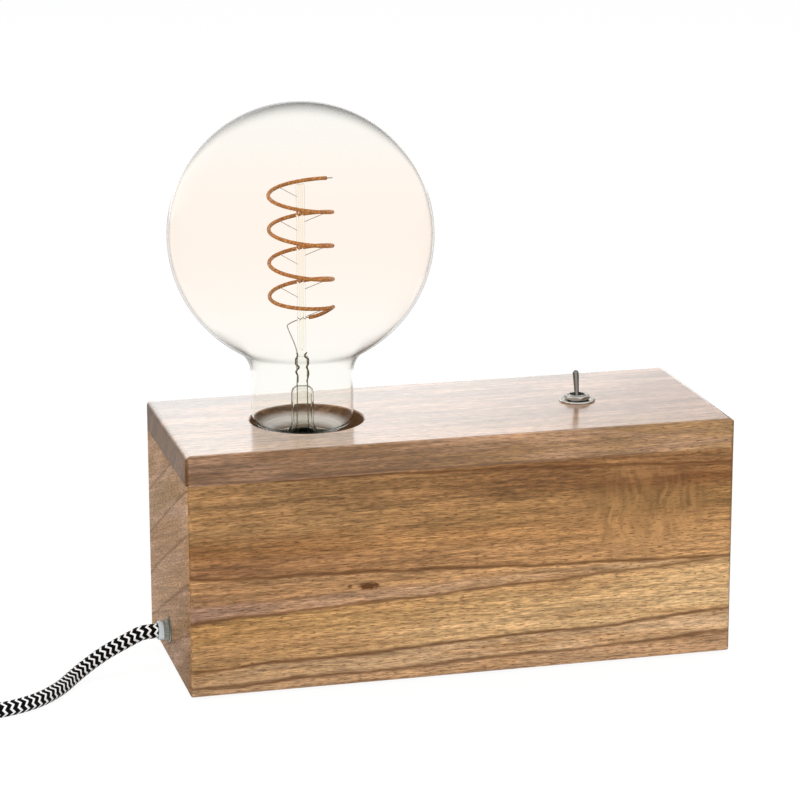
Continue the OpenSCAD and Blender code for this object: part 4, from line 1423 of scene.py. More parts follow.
@dataclass
class WoodenBlock(SubAssembly):
    """The hollow block: its boards, glue blocks, bottom panel, screws and pads."""

    pad_at: Pair = (94.0, 32.5)
    pad_r: float = 6.0
    pad_h: float = 1.0
    pad_edge: float = 0.4
    groove_from_rim: Pair = (2.6, 1.7)
    groove_depth: float = 0.25
    screw_at: Pair = (112.0, 32.5)
    head_r: float = 3.4
    head_h: float = 2.0
    shank_r: float = 1.6
    screw_l: float = 18.0
    thread_depth: float = 0.35
    thread_pitch: float = 1.3
    recess: Point = (4.0, 0.8, 1.2)

    def build(self) -> None:
        """Give every board its finish, and make the pads and the screws under the block."""
        paint = self.kit.paint
        paint(FRONT_WOOD, "front_board")
        paint(TOP_WOOD, "top_board")
        paint(BACK_WOOD, "back_board")
        paint(END_WOOD, "left_end_board", "right_end_board")
        paint(PINE, "glue_blocks")
        paint(PLYWOOD, "bottom_panel")
        self.pads()
        self.screws()

    def corners(self, place: Pair, height: float) -> list[Point]:
        """Four points at the same distance from the middle, at a height."""
        return [(x * place[0], y * place[1], height) for x in (-1, 1) for y in (-1, 1)]

    def pads(self) -> None:
        """Make the four anti-slip pads: low discs with a rounded edge and a ring groove."""
        r, h, edge, deep = self.pad_r, self.pad_h, self.pad_edge, self.groove_depth
        inner, outer = (r - rim for rim in self.groove_from_rim)
        outline = [(0.0, 0.0), (inner, 0.0), (inner + 0.2, deep), (outer - 0.2, deep)]
        outline.append((outer, 0.0))
        outline += arc((r - edge, edge), edge, -90, 0, 5) + [(r, h), (0.0, h)]
        disc = revolved("pad_shape", outline, segments=48)
        points = self.corners(self.pad_at, 0)
        piece = self.kit.copies("anti_slip_pads", disc, points, PAD_RUBBER)
        keep(piece, Body.BASE, PAD_RUBBER, "rubber", "rubber_pads")

    def screws(self) -> None:
        """Make the four countersunk screws: thread ridges, a point and a cross recess."""
        r, top = self.shank_r, self.screw_l
        core = r - self.thread_depth
        outline = [(0.0, 0.0), (self.head_r - 0.15, 0.0), (self.head_r, 0.15), (r, self.head_h)]
        height = self.head_h + 1.5
        while height < top - 3:
            outline += [(core, height), (r, height + 0.25), (r, height + 0.4)]
            outline.append((core, height + 0.65))
            height += self.thread_pitch
        outline += [(core, top - 2.6), (0.15, top - 0.05), (0.0, top)]
        screw = revolved("screw_shape", outline, segments=24)
        long, wide, deep = self.recess
        for x, y in ((long / 2, wide / 2), (wide / 2, long / 2)):
            corners = [(-x, -y), (x, -y), (x, y), (-x, y)]
            rings = [[(a * t, b * t, z) for a, b in corners] for t, z in ((1, -0.5), (0.75, deep))]
            screw = cut(screw, lofted("recess_bar", rings))
        points = self.corners(self.screw_at, 1.0)
        piece = self.kit.copies("countersunk_screws", screw, points, STEEL)
        keep(piece, Body.BASE, STEEL, "steel", "bottom_screws")


@dataclass
class GlobeBulb(SubAssembly):
    """The globe bulb: its glass, stem, rod, filament, wires and threaded cap."""

    x: float = -66.0
    wood_top: float = 117.0
    globe_z: float = 206.0
    globe_r: float = 62.5
    globe_steps: int = 72
    neck_r: float = 24.2
    shoulder_r: float = 14.0
    heel_r: float = 5.0
    heel_slope: float = 32.0
    glass_t: float = 0.9
    cap_top: float = 109.5
    cap_r: float = 13.1
    cap_t: float = 0.5
    shell_foot: float = 88.0
    thread_top: float = 102.5
    tail_r: float = 12.3
    tail_l: float = 6.0
    stem_r: float = 5.3
    stem_rise: float = 16.0
    press: Point = (6.6, 4.2, 15.0)
    rod_r: float = 2.0
    rod_rise: float = 113.0
    spiral_r: float = 14.9
    spiral_pitch: float = 16.0
    spiral_turns: float = 4.11
    spiral_rise: float = 114.0
    spiral_start: float = 24.0
    spiral_steps: int = 480
    last_turn_lift: float = 2.7
    last_end_drop: float = 5.0
    lift_turns: float = 0.5
    drop_turns: float = 0.22
    strand_r: float = 0.925
    support_r: float = 0.15
    support_at: tuple[Pair, ...] = ((123, 3.0), (321, 5.5))
    lead_r: float = 0.25
    lead_bend: Point = (-6.6, 1.6, 45.7)
    seal_r: float = 0.4

    @property
    def press_top(self) -> float:
        """Height of the press's top."""
        return self.wood_top + self.stem_rise + self.press[2]

    @property
    def lead_out(self) -> float:
        """Distance of the leads from the bulb's axis, in the press."""
        return self.press[0] * 0.36

    def build(self) -> None:
        """Make every piece of the bulb."""
        self.globe()
        self.stem()
        self.rod()
        self.filament()
        self.cap()
        self.kit.paint(CAP_GLASS, "cap_insulator")
        self.kit.paint(SOLDER, "cap_contact")
        self.kit.paint(CIRCUIT_BOARD, "driver_board")

    def cap(self) -> None:
        """Make the cap's rolled shell, with a round-crested thread and a beaded rim."""

        def radius(angle: float, height: float) -> float:
            """Radius of the shell, whose groove fades out below its smooth collar."""
            fade = smooth_step((self.thread_top - height) / 1.5)
            return self.cap_r - LAMP_THREAD.sink(angle, height) * fade

        inner, top = self.cap_r - self.cap_t - 0.2, self.cap_top
        rim = [(self.cap_r, self.thread_top + 0.6), (self.cap_r, top - 1.1)]
        rim += arc((self.cap_r - 0.25, top - 0.3), 0.3, -40, 140, 8)
        rim += [(inner, top - 0.5), (inner, self.shell_foot)]
        reach = (self.shell_foot, self.thread_top, 66)
        piece = LAMP_THREAD.shell("threaded_cap", radius, reach, rim, self.x)
        keep(piece, Body.BULB, CAP_SHELL, "nickel", "bulb_cap")

    def wall(self, inset: float) -> Outline:
        """Section of the glass from the globe's crown to the tail, drawn in by an inset.

        Args:
            inset: Distance inwards from the outer face.

        Returns:
            Radius and height of each point, from the top down.
        """
        shoulder_x = self.neck_r + self.shoulder_r
        shoulder_z = -math.sqrt((self.globe_r + self.shoulder_r) ** 2 - shoulder_x**2)
        meet = math.degrees(math.atan2(shoulder_z, shoulder_x))
        slope = math.radians(self.heel_slope)
        tail_top = self.cap_top - self.globe_z
        heel_x = self.neck_r - self.heel_r
        foot_x = heel_x + self.heel_r * math.sin(slope)
        heel_z = (
            tail_top + (foot_x - self.tail_r) * math.tan(slope) + self.heel_r * math.cos(slope)
        )
        heel = self.heel_r - inset
        foot = (heel_x + heel * math.sin(slope), heel_z - heel * math.cos(slope))
        tail = self.tail_r - inset
        cone_end = foot[1] - (foot[0] - tail) * math.tan(slope)
        outline = arc((0, 0), self.globe_r - inset, 90, meet, self.globe_steps)
        shoulder = (shoulder_x, shoulder_z)
        outline += arc(shoulder, self.shoulder_r + inset, meet + 180, 180, 14)[1:]
        outline += arc((heel_x, heel_z), heel, 0, self.heel_slope - 90, 10)
        outline += [(tail, cone_end), (tail, tail_top - self.tail_l)]
        outline[0] = (0.0, outline[0][1])
        return [(r, z + self.globe_z) for r, z in outline]

    def globe(self) -> None:
        """Make the blown globe with its neck, a closed shell of even wall."""
        outline = self.wall(self.glass_t) + self.wall(0)[::-1]
        piece = revolved("globe_glass", outline, (self.x, 0), 160, 60)
        keep(piece, Body.BULB, GLOBE_GLASS, "clear_glass", "bulb_glass").visible_shadow = False

    def stem(self) -> None:
        """Make the flared glass stem with its flat press."""
        r, top = self.stem_r, self.wood_top + self.stem_rise
        flare_r = self.tail_r - self.glass_t - 0.3
        flare_z = self.cap_top - self.tail_l + 1
        outer = [
            (flare_r, flare_z), (flare_r, flare_z + 1.2), (flare_r - 1.6, flare_z + 2.3),
            (flare_r - 3, flare_z + 3.4), (r + 2.2, flare_z + 5.4), (r + 1, flare_z + 7.5),
            (r + 0.3, flare_z + 9.2), (r, flare_z + 11), (r, top - 3), (r - 0.4, top - 1.4),
            (r - 1.4, top - 0.4), (0, top),
        ]
        inner = [
            (0, top - 1.1), (r - 1.7, top - 1.5), (r - 1.1, top - 2.6), (r - 1, top - 4),
            (r - 1, flare_z + 10.5), (r, flare_z + 7), (flare_r - 4, flare_z + 2.6),
            (flare_r - 1.5, flare_z),
        ]
        stem = revolved("stem_tube", outer + inner, (self.x, 0), 48, 50)
        self.join_press(stem, top - 0.5)
        keep(stem, Body.BULB, STEM_GLASS, "clear_glass", "glass_stem").visible_shadow = False

    def join_press(self, stem: Piece, foot: float) -> None:
        """Add the flat, waisted press on top of the stem.

        Args:
            stem: The stem, which takes the press.
            foot: Height of the press's lower edge.
        """
        width, thick, height = self.press
        rows = ((0.0, 0.86), (0.16, 0.8), (0.5, 0.72), (0.78, 0.92), (0.92, 1.0), (1.0, 0.8))
        rings = []
        for rise, share in rows:
            half = (width * share / 2, thick * (0.5 if rise < 1 else 0.36))
            section = rounded_section(half, (0.6, 0.6), 24)
            rings.append([(self.x + x, y, foot + rise * height) for x, y in section])
        press = lofted("press", rings)
        work = bmesh.new()
        work.from_mesh(stem.data)
        work.from_mesh(press.data)
        work.to_mesh(stem.data)
        work.free()
        bpy.data.objects.remove(press)
        stem.data.shade_smooth()
        stem.data.set_sharp_from_angle(angle=math.radians(50))

    def rod(self) -> None:
        """Make the hollow glass rod that stands on the press."""
        r, foot, tip = self.rod_r, self.press_top, self.wood_top + self.rod_rise
        outline = [(0, foot), (r, foot), (r, tip - 0.8), (r - 0.3, tip), (r - 1, tip)]
        outline += [(r - 1, foot + 3), (0, foot + 2.4)]
        rod = revolved("centre_rod", outline, (self.x, 0), 32, 50)
        keep(rod, Body.BULB, STEM_GLASS, "clear_glass", "glass_rod").visible_shadow = False

    def spiral_point(self, turns: float) -> Point:
        """Centre of the strand; near its lower end it lifts a little, then drops.

        Args:
            turns: Number of turns from its upper end.

        Returns:
            The point.
        """
        angle = math.radians(self.spiral_start + 360 * turns)
        past = turns - self.spiral_turns + self.drop_turns
        height = self.wood_top + self.spiral_rise - self.spiral_pitch * turns
        height += self.last_turn_lift * smooth_step((past + self.lift_turns) / self.lift_turns)
        height -= self.last_end_drop * smooth_step(past / self.drop_turns)
        across, deep = self.spiral_r * math.cos(angle), self.spiral_r * math.sin(angle)
        return (self.x + across, deep, height)

    def filament(self) -> None:
        """Make the spiral strand, the thin supports on its rod, and its leads."""
        steps = self.spiral_steps
        strand = [self.spiral_point(self.spiral_turns * i / steps) for i in range(steps + 1)]
        piece = self.kit.wires("spiral_strand", [strand], self.strand_r, 14, PHOSPHOR)
        keep(piece, Body.BULB, PHOSPHOR, "filament", "filament_spiral")
        rods = []
        for turn in range(4):
            for angle, drop in self.support_at:
                end = Vector(self.spiral_point(turn + (angle - self.spiral_start) / 360))
                way = Vector((end.x - self.x, end.y, 0)).normalized()
                root = Vector((self.x, 0, end.z - drop)) + way * (self.rod_r + 0.05)
                rods.append([root, end - way * (self.strand_r + 0.15)])
        piece = self.kit.wires("strand_supports", rods, self.support_r, 8, LEAD_WIRE)
        keep(piece, Body.BULB, LEAD_WIRE, "steel", "support_wires")
        self.leads([Vector(point) for point in strand])
        self.seals()

    def leads(self, strand: Sequence[Vector]) -> None:
        """Make the wires from the strand's two ends down to the cap.

        Args:
            strand: Centre line of the strand, from its upper end.
        """
        first, last = strand[0], strand[-1]
        way_in = (strand[1] - first).normalized()
        way_out = (last - strand[-2]).normalized()
        top, out, low = self.press_top, self.lead_out, self.cap_top - 14
        bend = Vector((self.x, 0, self.wood_top)) + Vector(self.lead_bend)
        route = [
            last,
            last + 2.5 * way_out,
            Vector((self.x - 1, 9, bend.z)),
            bend + Vector((0.6, 0.8, 0)),
            bend + Vector((0, 0, -0.6)),
            Vector((self.x - out, 0.6, top + 2)),
            Vector((self.x - out, 0.6, top - 9)),
        ]
        lines = [[first - 5 * way_in, first + way_in], smooth_path(route, 1.0)]
        for side, height in ((-1, top - 9), (1, top - 1)):
            near, far = self.x + side * out, self.x + side * (out + 0.8)
            lines.append([(near, 0, height), (near, 0, top - 16), (far, 0, low)])
        piece = self.kit.wires("lead_wires", lines, self.lead_r, 8, LEAD_WIRE)
        keep(piece, Body.BULB, LEAD_WIRE, "steel", "filament_leads")

    def seals(self) -> None:
        """Make the kinked seal wires that the press holds, thicker than the leads."""
        lines = []
        for side in (-1, 1):
            kinks = (
                (1.2, 1.0), (-0.4, 0.7 - 0.2 * side), (-2.6, 1.3), (-5.2, 0.75 + 0.15 * side),
                (-7.6, 1.25), (-9.4, 1.1 + 0.2 * side), (-13.0, 0.9),
            )
            way = []
            for rise, wide in kinks:
                x = self.x + side * self.lead_out * wide
                way.append(Vector((x, 0.5 * side * (wide - 1), self.press_top + rise)))
            lines.append(smooth_path(way, 0.6))
        piece = self.kit.wires("press_seals", lines, self.seal_r, 10, SEAL_WIRE)
        keep(piece, Body.BULB, SEAL_WIRE, "steel")


@dataclass
class LampHolder(SubAssembly):
    """The lamp holder and its bracket, inside the block."""

    x: float = -66.0
    sleeve_foot: float = 80.0
    thread_end: float = 106.0
    rim_top: float = 108.0
    inner_r: float = 13.2
    sleeve_t: float = 0.5
    rim_r: float = 14.5

    def build(self) -> None:
        """Make the sleeve, and give the holder's other pieces their finishes."""
        self.sleeve()
        self.kit.paint(PHENOLIC, "holder_shell", "holder_base")
        self.kit.paint(STEATITE, "contact_block")
        self.kit.paint(BRASS, "centre_contact", "holder_terminals")
        self.kit.paint(STEEL, "hollow_nipple", "nipple_nuts", "holder_bracket", "bracket_screws")

    def sleeve(self) -> None:
        """Make the rolled brass sleeve that the bulb screws into."""

        def radius(angle: float, height: float) -> float:
            """Radius of the sleeve's inner wall."""
            return self.inner_r - LAMP_THREAD.sink(angle, height)

        foot, end, top, rim = self.sleeve_foot, self.thread_end, self.rim_top, self.rim_r
        outer = self.inner_r + self.sleeve_t
        others = [(outer, foot), (outer, end - 0.6), (outer + 0.1, end), (rim, top - 0.5)]
        others += [(rim, top - 0.1), (rim - 0.3, top), (rim - 0.6, top - 0.2)]
        others.append((self.inner_r + 0.1, end + 0.3))
        piece = LAMP_THREAD.shell("rolled_sleeve", radius, (end, foot, 110), others, self.x)
        keep(piece, Body.BASE, BRASS, "brass", "threaded_sleeve")


@dataclass
class ToggleSwitch(SubAssembly):
    """The toggle switch on top of the block."""

    x: float = 70.0
    foot: float = 111.9
    wood_top: float = 117.0
    washer_r: float = 8.7
    washer_t: float = 0.8
    hole_r: float = 4.6
    nut_w: float = 11.0
    nut_t: float = 2.0
    thread_r: float = 4.2
    thread_pitch: float = 0.6
    thread_depth: float = 0.22
    bore_r: float = 2.5
    mouth_r: float = 3.7
    top: float = 120.2
    pivot_z: float = 117.2
    ball_r: float = 2.1
    reach: float = 14.4
    stub: float = 6.5
    stub_r: float = 0.9
    lean: float = 12.0
    lever_foot_r: float = 1.05
    lever_tip_r: float = 1.45
    pin_r: float = 0.66

    def build(self) -> None:
        """Make the switch's turned pieces and dress the rest of it."""
        self.lever()
        self.bushing()
        self.seal()
        self.nut()
        self.washer()
        self.kit.paint(SWITCH_HOUSING, "switch_body")
        self.kit.paint(TINNED_BRASS, "switch_lugs")
        self.kit.paint(STEEL, "lock_washer", "lever_pin")

    def lever(self) -> None:
        """Make the lever: a round-nosed bat that narrows to its ball, with a stub below."""
        tip, foot, stub, end = self.lever_tip_r, self.lever_foot_r, self.stub_r, -self.stub
        outline = [(0.0, end), (stub - 0.2, end), (stub, end + 0.2), (stub, -self.ball_r)]
        outline += arc((0, 0), self.ball_r, -62, 58, 14)
        outline += [(foot + 0.1, self.ball_r), (foot, 2.7), (foot + 0.03, 4.0)]
        outline += [(tip - 0.07, self.reach - tip - 2.2), (tip, self.reach - tip - 0.4)]
        outline += arc((0, self.reach - tip), tip, 0, 90, 8)
        outline[-1] = (0.0, self.reach)
        piece = revolved("bat_lever", outline, segments=40)
        pin = [(0.0, -6.0), (self.pin_r, -6.0), (self.pin_r, 6.0), (0.0, 6.0)]
        drill = revolved("drill", pin, segments=20)
        piece = cut(piece, placed(drill, (0, 0, 0), (1, 0, 0)))
        lean = math.radians(self.lean)
        placed(piece, (self.x, 0, self.pivot_z), (0, math.sin(lean), math.cos(lean)))
        keep(piece, Body.LEVER, DARK_NICKEL, "nickel", "toggle_lever")

    def bushing(self) -> None:
        """Make the bushing: fine thread outside, a rounded mouth and a ball seat inside."""
        bore, mouth, thread, top = self.bore_r, self.mouth_r, self.thread_r, self.top
        outline = [(bore, self.foot), (thread - 0.3, self.foot)]
        height = self.foot + 0.3
        while height < top - 0.5:
            outline += [(thread, height), (thread - self.thread_depth, height + 0.3)]
            height += self.thread_pitch
        outline += arc((thread - 0.3, top - 0.25), 0.25, 0, 90, 4)
        outline += arc((mouth + 0.15, top - 0.15), 0.15, 90, 180, 4)
        outline += [(mouth, top - 0.9), (bore, self.pivot_z + 1.4), (bore, self.pivot_z)]
        piece = revolved("threaded_bushing", outline, (self.x, 0), 72, 30)
        keep(piece, Body.BASE, BRIGHT_NICKEL, "nickel", "switch_bushing")

    def seal(self) -> None:
        """Make the rubber ring that closes the bushing's mouth round the lever."""
        top = self.top - 0.75
        lip, rim = self.lever_foot_r + 0.8, self.mouth_r + 0.05
        outline = [(lip, top - 0.5), (rim, top - 0.4), (rim, top), (lip + 0.3, top + 0.1)]
        piece = revolved("mouth_seal", [*outline, (lip, top)], (self.x, 0), 48)
        keep(piece, Body.BASE, SEAL_RUBBER, "rubber")

    def nut(self) -> None:
        """Make the hexagon nut with its corners turned off above and below."""
        low, sides, flat = self.wood_top + self.washer_t, 120, self.nut_w / 2
        top, bore, axis = low + self.nut_t, self.thread_r + 0.06, (self.x, 0)
        sixth = math.pi / 3
        offs = [(math.tau * k / sides + sixth / 2) % sixth - sixth / 2 for k in range(sides)]
        corners = [flat / math.cos(off) - 0.12 * (abs(off) > 0.5) for off in offs]
        rises = (0.0, 0.08, 0.16, 0.25, 0.35, 0.45, 0.6)
        rings = []
        for height in [low + rise for rise in rises] + [top - rise for rise in rises[::-1]]:
            edge = min(height - low, top - height)
            cone = flat - 0.25 + edge / math.tan(math.radians(30))
            rings.append(ring(axis, [min(corner, cone) for corner in corners], height))
        hole = ((bore + 0.35, top), (bore, top - 0.3), (bore, low + 0.3), (bore + 0.35, low))
        rings += [ring(axis, [radius] * sides, height) for radius, height in hole]
        piece = lofted("hexagon_nut", rings, 25, loop=True)
        keep(piece, Body.BASE, BRIGHT_NICKEL, "nickel", "switch_nut")

    def washer(self) -> None:
        """Make the dress washer: domed, with a polished rolled edge."""
        low, r, hole = self.wood_top, self.washer_r, self.hole_r
        top = low + self.washer_t
        outline = [(hole, low), (r - 0.15, low), *arc((r - 0.4, low + 0.4), 0.4, -50, 75, 8)]
        outline += [(r - 1.2, top), (r - 2.0, top - 0.06), (hole + 0.2, top - 0.06)]
        outline.append((hole, top - 0.2))
        piece = revolved("domed_washer", outline, (self.x, 0), 96, 30)
        keep(piece, Body.BASE, WASHER_NICKEL, "nickel", "dress_washer")


@dataclass
class CordEntry(SubAssembly):
    """The gland, the cord clamp, the terminal block and the wiring inside."""

    foot: Point = (-132.0, 0.0, 17.5)
    bore_r: float = 3.6
    shank_r: float = 4.8
    flange_r: float = 6.2
    flange_t: float = 1.2
    stand: float = 4.8
    taper: float = 0.4
    collar: float = 3.1
    tail: float = 20.0
    thread_pitch: float = 1.0
    thread_depth: float = 0.4
    knurl_depth: float = 0.5
    knurl_ridges: int = 36

    def build(self) -> None:
        """Make the gland and give the entry's other pieces their finishes."""
        self.gland()
        self.kit.paint(POLYAMIDE, "cord_clamp", "terminal_block")
        self.kit.paint(SHEATH, "inner_cord")
        self.kit.paint(BROWN_INSULATION, "cord_cores", "live_lead", "switched_lead")
        self.kit.paint(BLUE_INSULATION, "neutral_lead")
        self.kit.paint(STEEL, "gland_locknut", "clamp_screws")

    def gland(self) -> None:
        """Make the turned gland: a smooth collar, a knurled waist, a flange and a thread."""
        end, tail, collar = self.flange_t + self.stand, -self.tail, self.collar
        bore, shank, flange = self.bore_r, self.shank_r, self.flange_r
        profile = [(bore, tail), (shank - 0.5, tail), (shank, tail + 0.5)]
        height = tail + 1.2
        while height < -1.5:
            profile += [(shank, height), (shank - self.thread_depth, height + 0.5)]
            height += self.thread_pitch
        profile += [(shank, -0.4), (shank, 0.0), (flange - 0.2, 0.0), (flange, 0.2)]
        profile += [(flange, 0.5), (flange - 0.25, 0.7), (shank + 0.1, 0.75)]
        knurl = len(profile)
        profile += [(shank + self.taper, 1.0), (shank + 0.1, collar - 0.35)]
        profile += [(shank - 0.5, collar - 0.15), (shank - 0.5, collar + 0.1)]
        profile.append((shank - 0.2, collar + 0.3))
        profile += arc((shank - self.taper - 0.5, end - 0.5), 0.5, 5, 90, 6)
        profile += arc((bore + 0.3, end - 0.3), 0.3, 90, 180, 4)
        grooves = [self.knurl_depth * (k % 4 > 1) for k in range(4 * self.knurl_ridges)]
        rings = []
        for i, (radius, rise) in enumerate(profile):
            knurled = knurl <= i < knurl + 2
            rings.append(ring((0, 0), [radius - knurled * groove for groove in grooves], rise))
        piece = placed(lofted("turned_gland", rings, 30, loop=True), self.foot, (-1, 0, 0))
        keep(piece, Body.BASE, SATIN_NICKEL, "nickel", "cord_gland")
        piece.data.materials.append(NICKEL_BY_WALL.make())
        inside = (self.foot[0] - collar) * MM
        for face in piece.data.polygons:
            face.material_index = int(face.center.x > inside)


@dataclass
class BraidedCord(SubAssembly):
    """The braided mains cord, from the gland to the plug, with its put-away coil."""

    diameter: float = 7.0
    exit: Point = (-138.0, 0.0, 17.5)
    lead: tuple[Point, ...] = (
        (-145.5, -0.5, 17.1),
        (-151, -1, 15),
        (-157, -2.5, 12.8),
        (-163, -4.5, 10.7),
        (-169, -7.5, 8.4),
        (-175, -11.5, 6.1),
        (-181.5, -18, 4.2),
        (-187, -26, 3.5),
        (-193, -34, 3.5),
        (-201, -42, 3.5),
        (-212, -48.5, 3.5),
        (-224, -52, 3.5),
        (-237, -52.8, 3.5),
        (-250, -52.6, 3.5),
    )
    coil_centre: Pair = (-273.0, -7.0)
    coil_turns: float = 6.25
    coil_layers: int = 4
    coil_mid_r: float = 39.7
    turn_step: float = 7.5
    coil_rings: int = 24
    tail: tuple[Point, ...] = (
        (-318.5, 9, 25.8),
        (-318.5, 18, 24.6),
        (-318.5, 27.5, 22.2),
        (-316.2, 39.2, 18.1),
        (-309.6, 49.1, 13.6),
        (-299.7, 55.7, 9.6),
        (-288, 58, 7.1),
        (-282, 58, 6.85),
    )
    band: float = 3.6
    chevrons: int = 6
    swing: float = 0.43

    def coil_point(self, angle: float) -> Vector:
        """Centre of the coiled cord, which winds in and out as its layers rise.

        Args:
            angle: Angle along the coil, in degrees.

        Returns:
            The point.
        """
        layer = self.coil_turns * 360 / self.coil_layers
        part = (angle / layer) % 2
        half = self.turn_step * layer / 720
        radius = self.coil_mid_r + half * (1 - 2 * (part if part < 1 else 2 - part))
        height = self.diameter / 2 + self.turn_step * sum(
            smooth_step((angle - k * layer + 90) / 180) for k in range(1, self.coil_layers)
        )
        turned = math.radians(-90 - angle)
        x, y = self.coil_centre
        return Vector((x + radius * math.cos(turned), y + radius * math.sin(turned), height))

    def route(self) -> list[Vector]:
        """Work out the centre line of the whole cord.

        Returns:
            Its points, in millimetres, from the gland to the plug.
        """
        steps = math.floor(self.coil_turns * self.coil_rings)
        coil = [self.coil_point(360 * self.coil_turns * i / steps) for i in range(steps + 1)]
        start = coil[0] + Vector((self.diameter, 0, 0))
        end = coil[-1] + Vector((0, self.diameter, 0))
        lead, tail = ([Vector(p) for p in points] for points in (self.lead, self.tail))
        return [Vector(self.exit), *lead, start, *coil, end, *tail]

    def build(self, plug: Sequence[Piece]) -> None:
        """Args:
            plug: The pieces of the plug at its end; not used.
        """
        path = smooth_path(self.route(), 1.6)
        length = sum((b - a).length for a, b in zip(path, path[1:]))
        piece = mapped_tube("braided_cord", path, self.diameter / 2, 20)
        weave = (self.band, self.chevrons, self.swing, length)
        braid = BraidedYarn("braided_cotton", "050506", "FCFCFC", *weave)
        keep(piece, Body.BASE, braid, "braid", "cord_lead", "cord_coil", "cord_tail")
        tuple(c * MM for c in self.exit)
        LOG.info("cord is %.0f mm long", length)


@dataclass
class Plug(SubAssembly):
    """The flat two-pin plug at the cord's end; its pieces are made along X from the cord."""

    foot: Point = (-282.0, 58.0, 6.85)
    guard_l: float = 20.0
    guard_thin_r: float = 4.4
    guard_thick_r: float = 5.4
    guard_ribs: int = 6
    rib_step: float = 2.9
    groove_depth: float = 0.9
    body_l: float = 30.0
    front_w: float = 35.3
    thick: float = 13.7
    grips: int = 4
    grip_step: float = 2.2
    pin_d: float = 4.0
    pin_l: float = 19.0
    pin_gap: float = 18.6
    sleeve_l: float = 10.0
    sleeve_t: float = 0.1

    def build(self) -> list[Piece]:
        """Make the plug.

        Returns:
            Its pieces.
        """
        return [self.guard(), self.body(), *self.pins()]

    def pins(self) -> list[Piece]:
        """Make the two round pins and the insulating sleeves round their feet.

        Returns:
            The pins and the sleeves.
        """
        front = Vector(self.foot) + Vector((self.guard_l + self.body_l, 0, 0))
        ends = [tuple(front + Vector((0, side * self.pin_gap / 2, 0))) for side in (-1, 1)]
        r, tip, sleeve = self.pin_d / 2, self.pin_l, self.sleeve_l
        core = r - self.sleeve_t
        pin = [(0.0, 0.0), (core, 0.0), (core, sleeve), (r, sleeve + 0.1), (r, tip - 1.4)]
        pin += [*arc((r - 1.2, tip - 1.2), 1.2, 0, 90, 6), (0.0, tip)]
        shell = [(core, -0.4), (r, -0.4), (r, sleeve - 0.15), (core, sleeve)]
        pieces = []
        for name, outline, finish, slot, nodes in (
            ("round_pins", pin, PIN_METAL, "nickel", ["plug_pins"]),
            ("pin_sleeves", shell, PLUG_BLACK, "plug_plastic", []),
        ):
            shape = placed(revolved("pin_shape", outline, segments=32), (0, 0, 0), (1, 0, 0))
            piece = self.kit.copies(name, shape, ends, finish)
            pieces.append(keep(piece, Body.BASE, finish, slot, *nodes))
        return pieces

    def guard(self) -> Piece:
        """Make the bend guard: a tapered sleeve with ribs and grooves round it.

        Returns:
            The guard.
        """
        thin, thick, end = self.guard_thin_r, self.guard_thick_r, self.guard_l + 2
        outline = [(0.0, 0.0), (thin - 0.4, 0.0), (thin, 0.4)]
        for rib in range(self.guard_ribs):
            start = 1.9 + self.rib_step * rib
            for rise, drop in ((0, 0), (0.2, 1), (0.9, 1), (1.1, 0)):
                at = start + rise
                radius = thin + (thick - thin) * at / end - self.groove_depth * drop
                outline.append((radius, at))
        outline += [(thick, end), (0.0, end)]
        sleeve = revolved("bend_guard", outline, segments=48, crease=30)
        piece = placed(sleeve, self.foot, (1, 0, 0))
        return keep(piece, Body.BASE, PLUG_BLACK, "plug_plastic", "plug_body")

    def body(self) -> Piece:
        """Make the moulded body: flat, waisted, with rounded edges and grip grooves.

        Returns:
            The body.
        """
        full, length = self.thick / 2, self.body_l
        rows = [
            (0.0, 6.0, 5.2), (0.25, 8.2, 6.0), (1.0, 10.0, 6.5), (2.4, 11.0, full),
            (4.0, 11.35, full), (6.0, 12.0, full), (8.0, 12.8, full), (10.0, 13.8, full),
        ]
        for grip in range(self.grips):
            start, wide = 11.0 + self.grip_step * grip, 14.3 + 0.9 * grip
            rows += [
                (start, wide, full), (start + 0.25, wide + 0.1, full - 0.5),
                (start + 0.9, wide + 0.3, full - 0.5), (start + 1.15, wide + 0.4, full),
            ]
        front = self.front_w / 2
        rows += [(length - 8.5, front, full), (length - 1.4, front, full)]
        rows += [(length - 0.5, front - 0.25, full - 0.35), (length, front - 0.95, full - 1.05)]
        x, y, z = self.foot
        rings = []
        for rise, wide, deep in rows:
            section = rounded_section((wide, deep), (0.36, 0.5), 64)
            at = x + self.guard_l + rise
            rings.append([(at, y + across, z + up) for across, up in section])
        piece = lofted("plug_shell", rings, 30)
        return keep(piece, Body.BASE, PLUG_BLACK, "plug_plastic", "plug_body")


# ---------- Studio ----------


def hidden_from(thing: Piece, *rays: str) -> Piece:
    """Hide an object from kinds of rays.

    Args:
        thing: The object.
        *rays: The kinds of rays that pass it.

    Returns:
        The same object.
    """
    for ray in rays:
        setattr(thing, f"visible_{ray}", False)
    return thing


def area_light(name: str, size: Pair, power: float, turn: Matrix) -> Piece:
    """Hang an area light.

    Args:
        name: Name of the light.
        size: Its width and height, in metres.
        power: Its power, in watts.
        turn: Its place and turn.

    Returns:
        The light, which the camera doesn't see, nor any light through the glass.
    """
    data = bpy.data.lights.new(name, "AREA")
    data.shape = "RECTANGLE"
    data.size, data.size_y = size
    data.energy = power
    light = linked(bpy.data.objects.new(name, data))
    light.matrix_world = turn
    return hidden_from(light, "camera", "transmission")


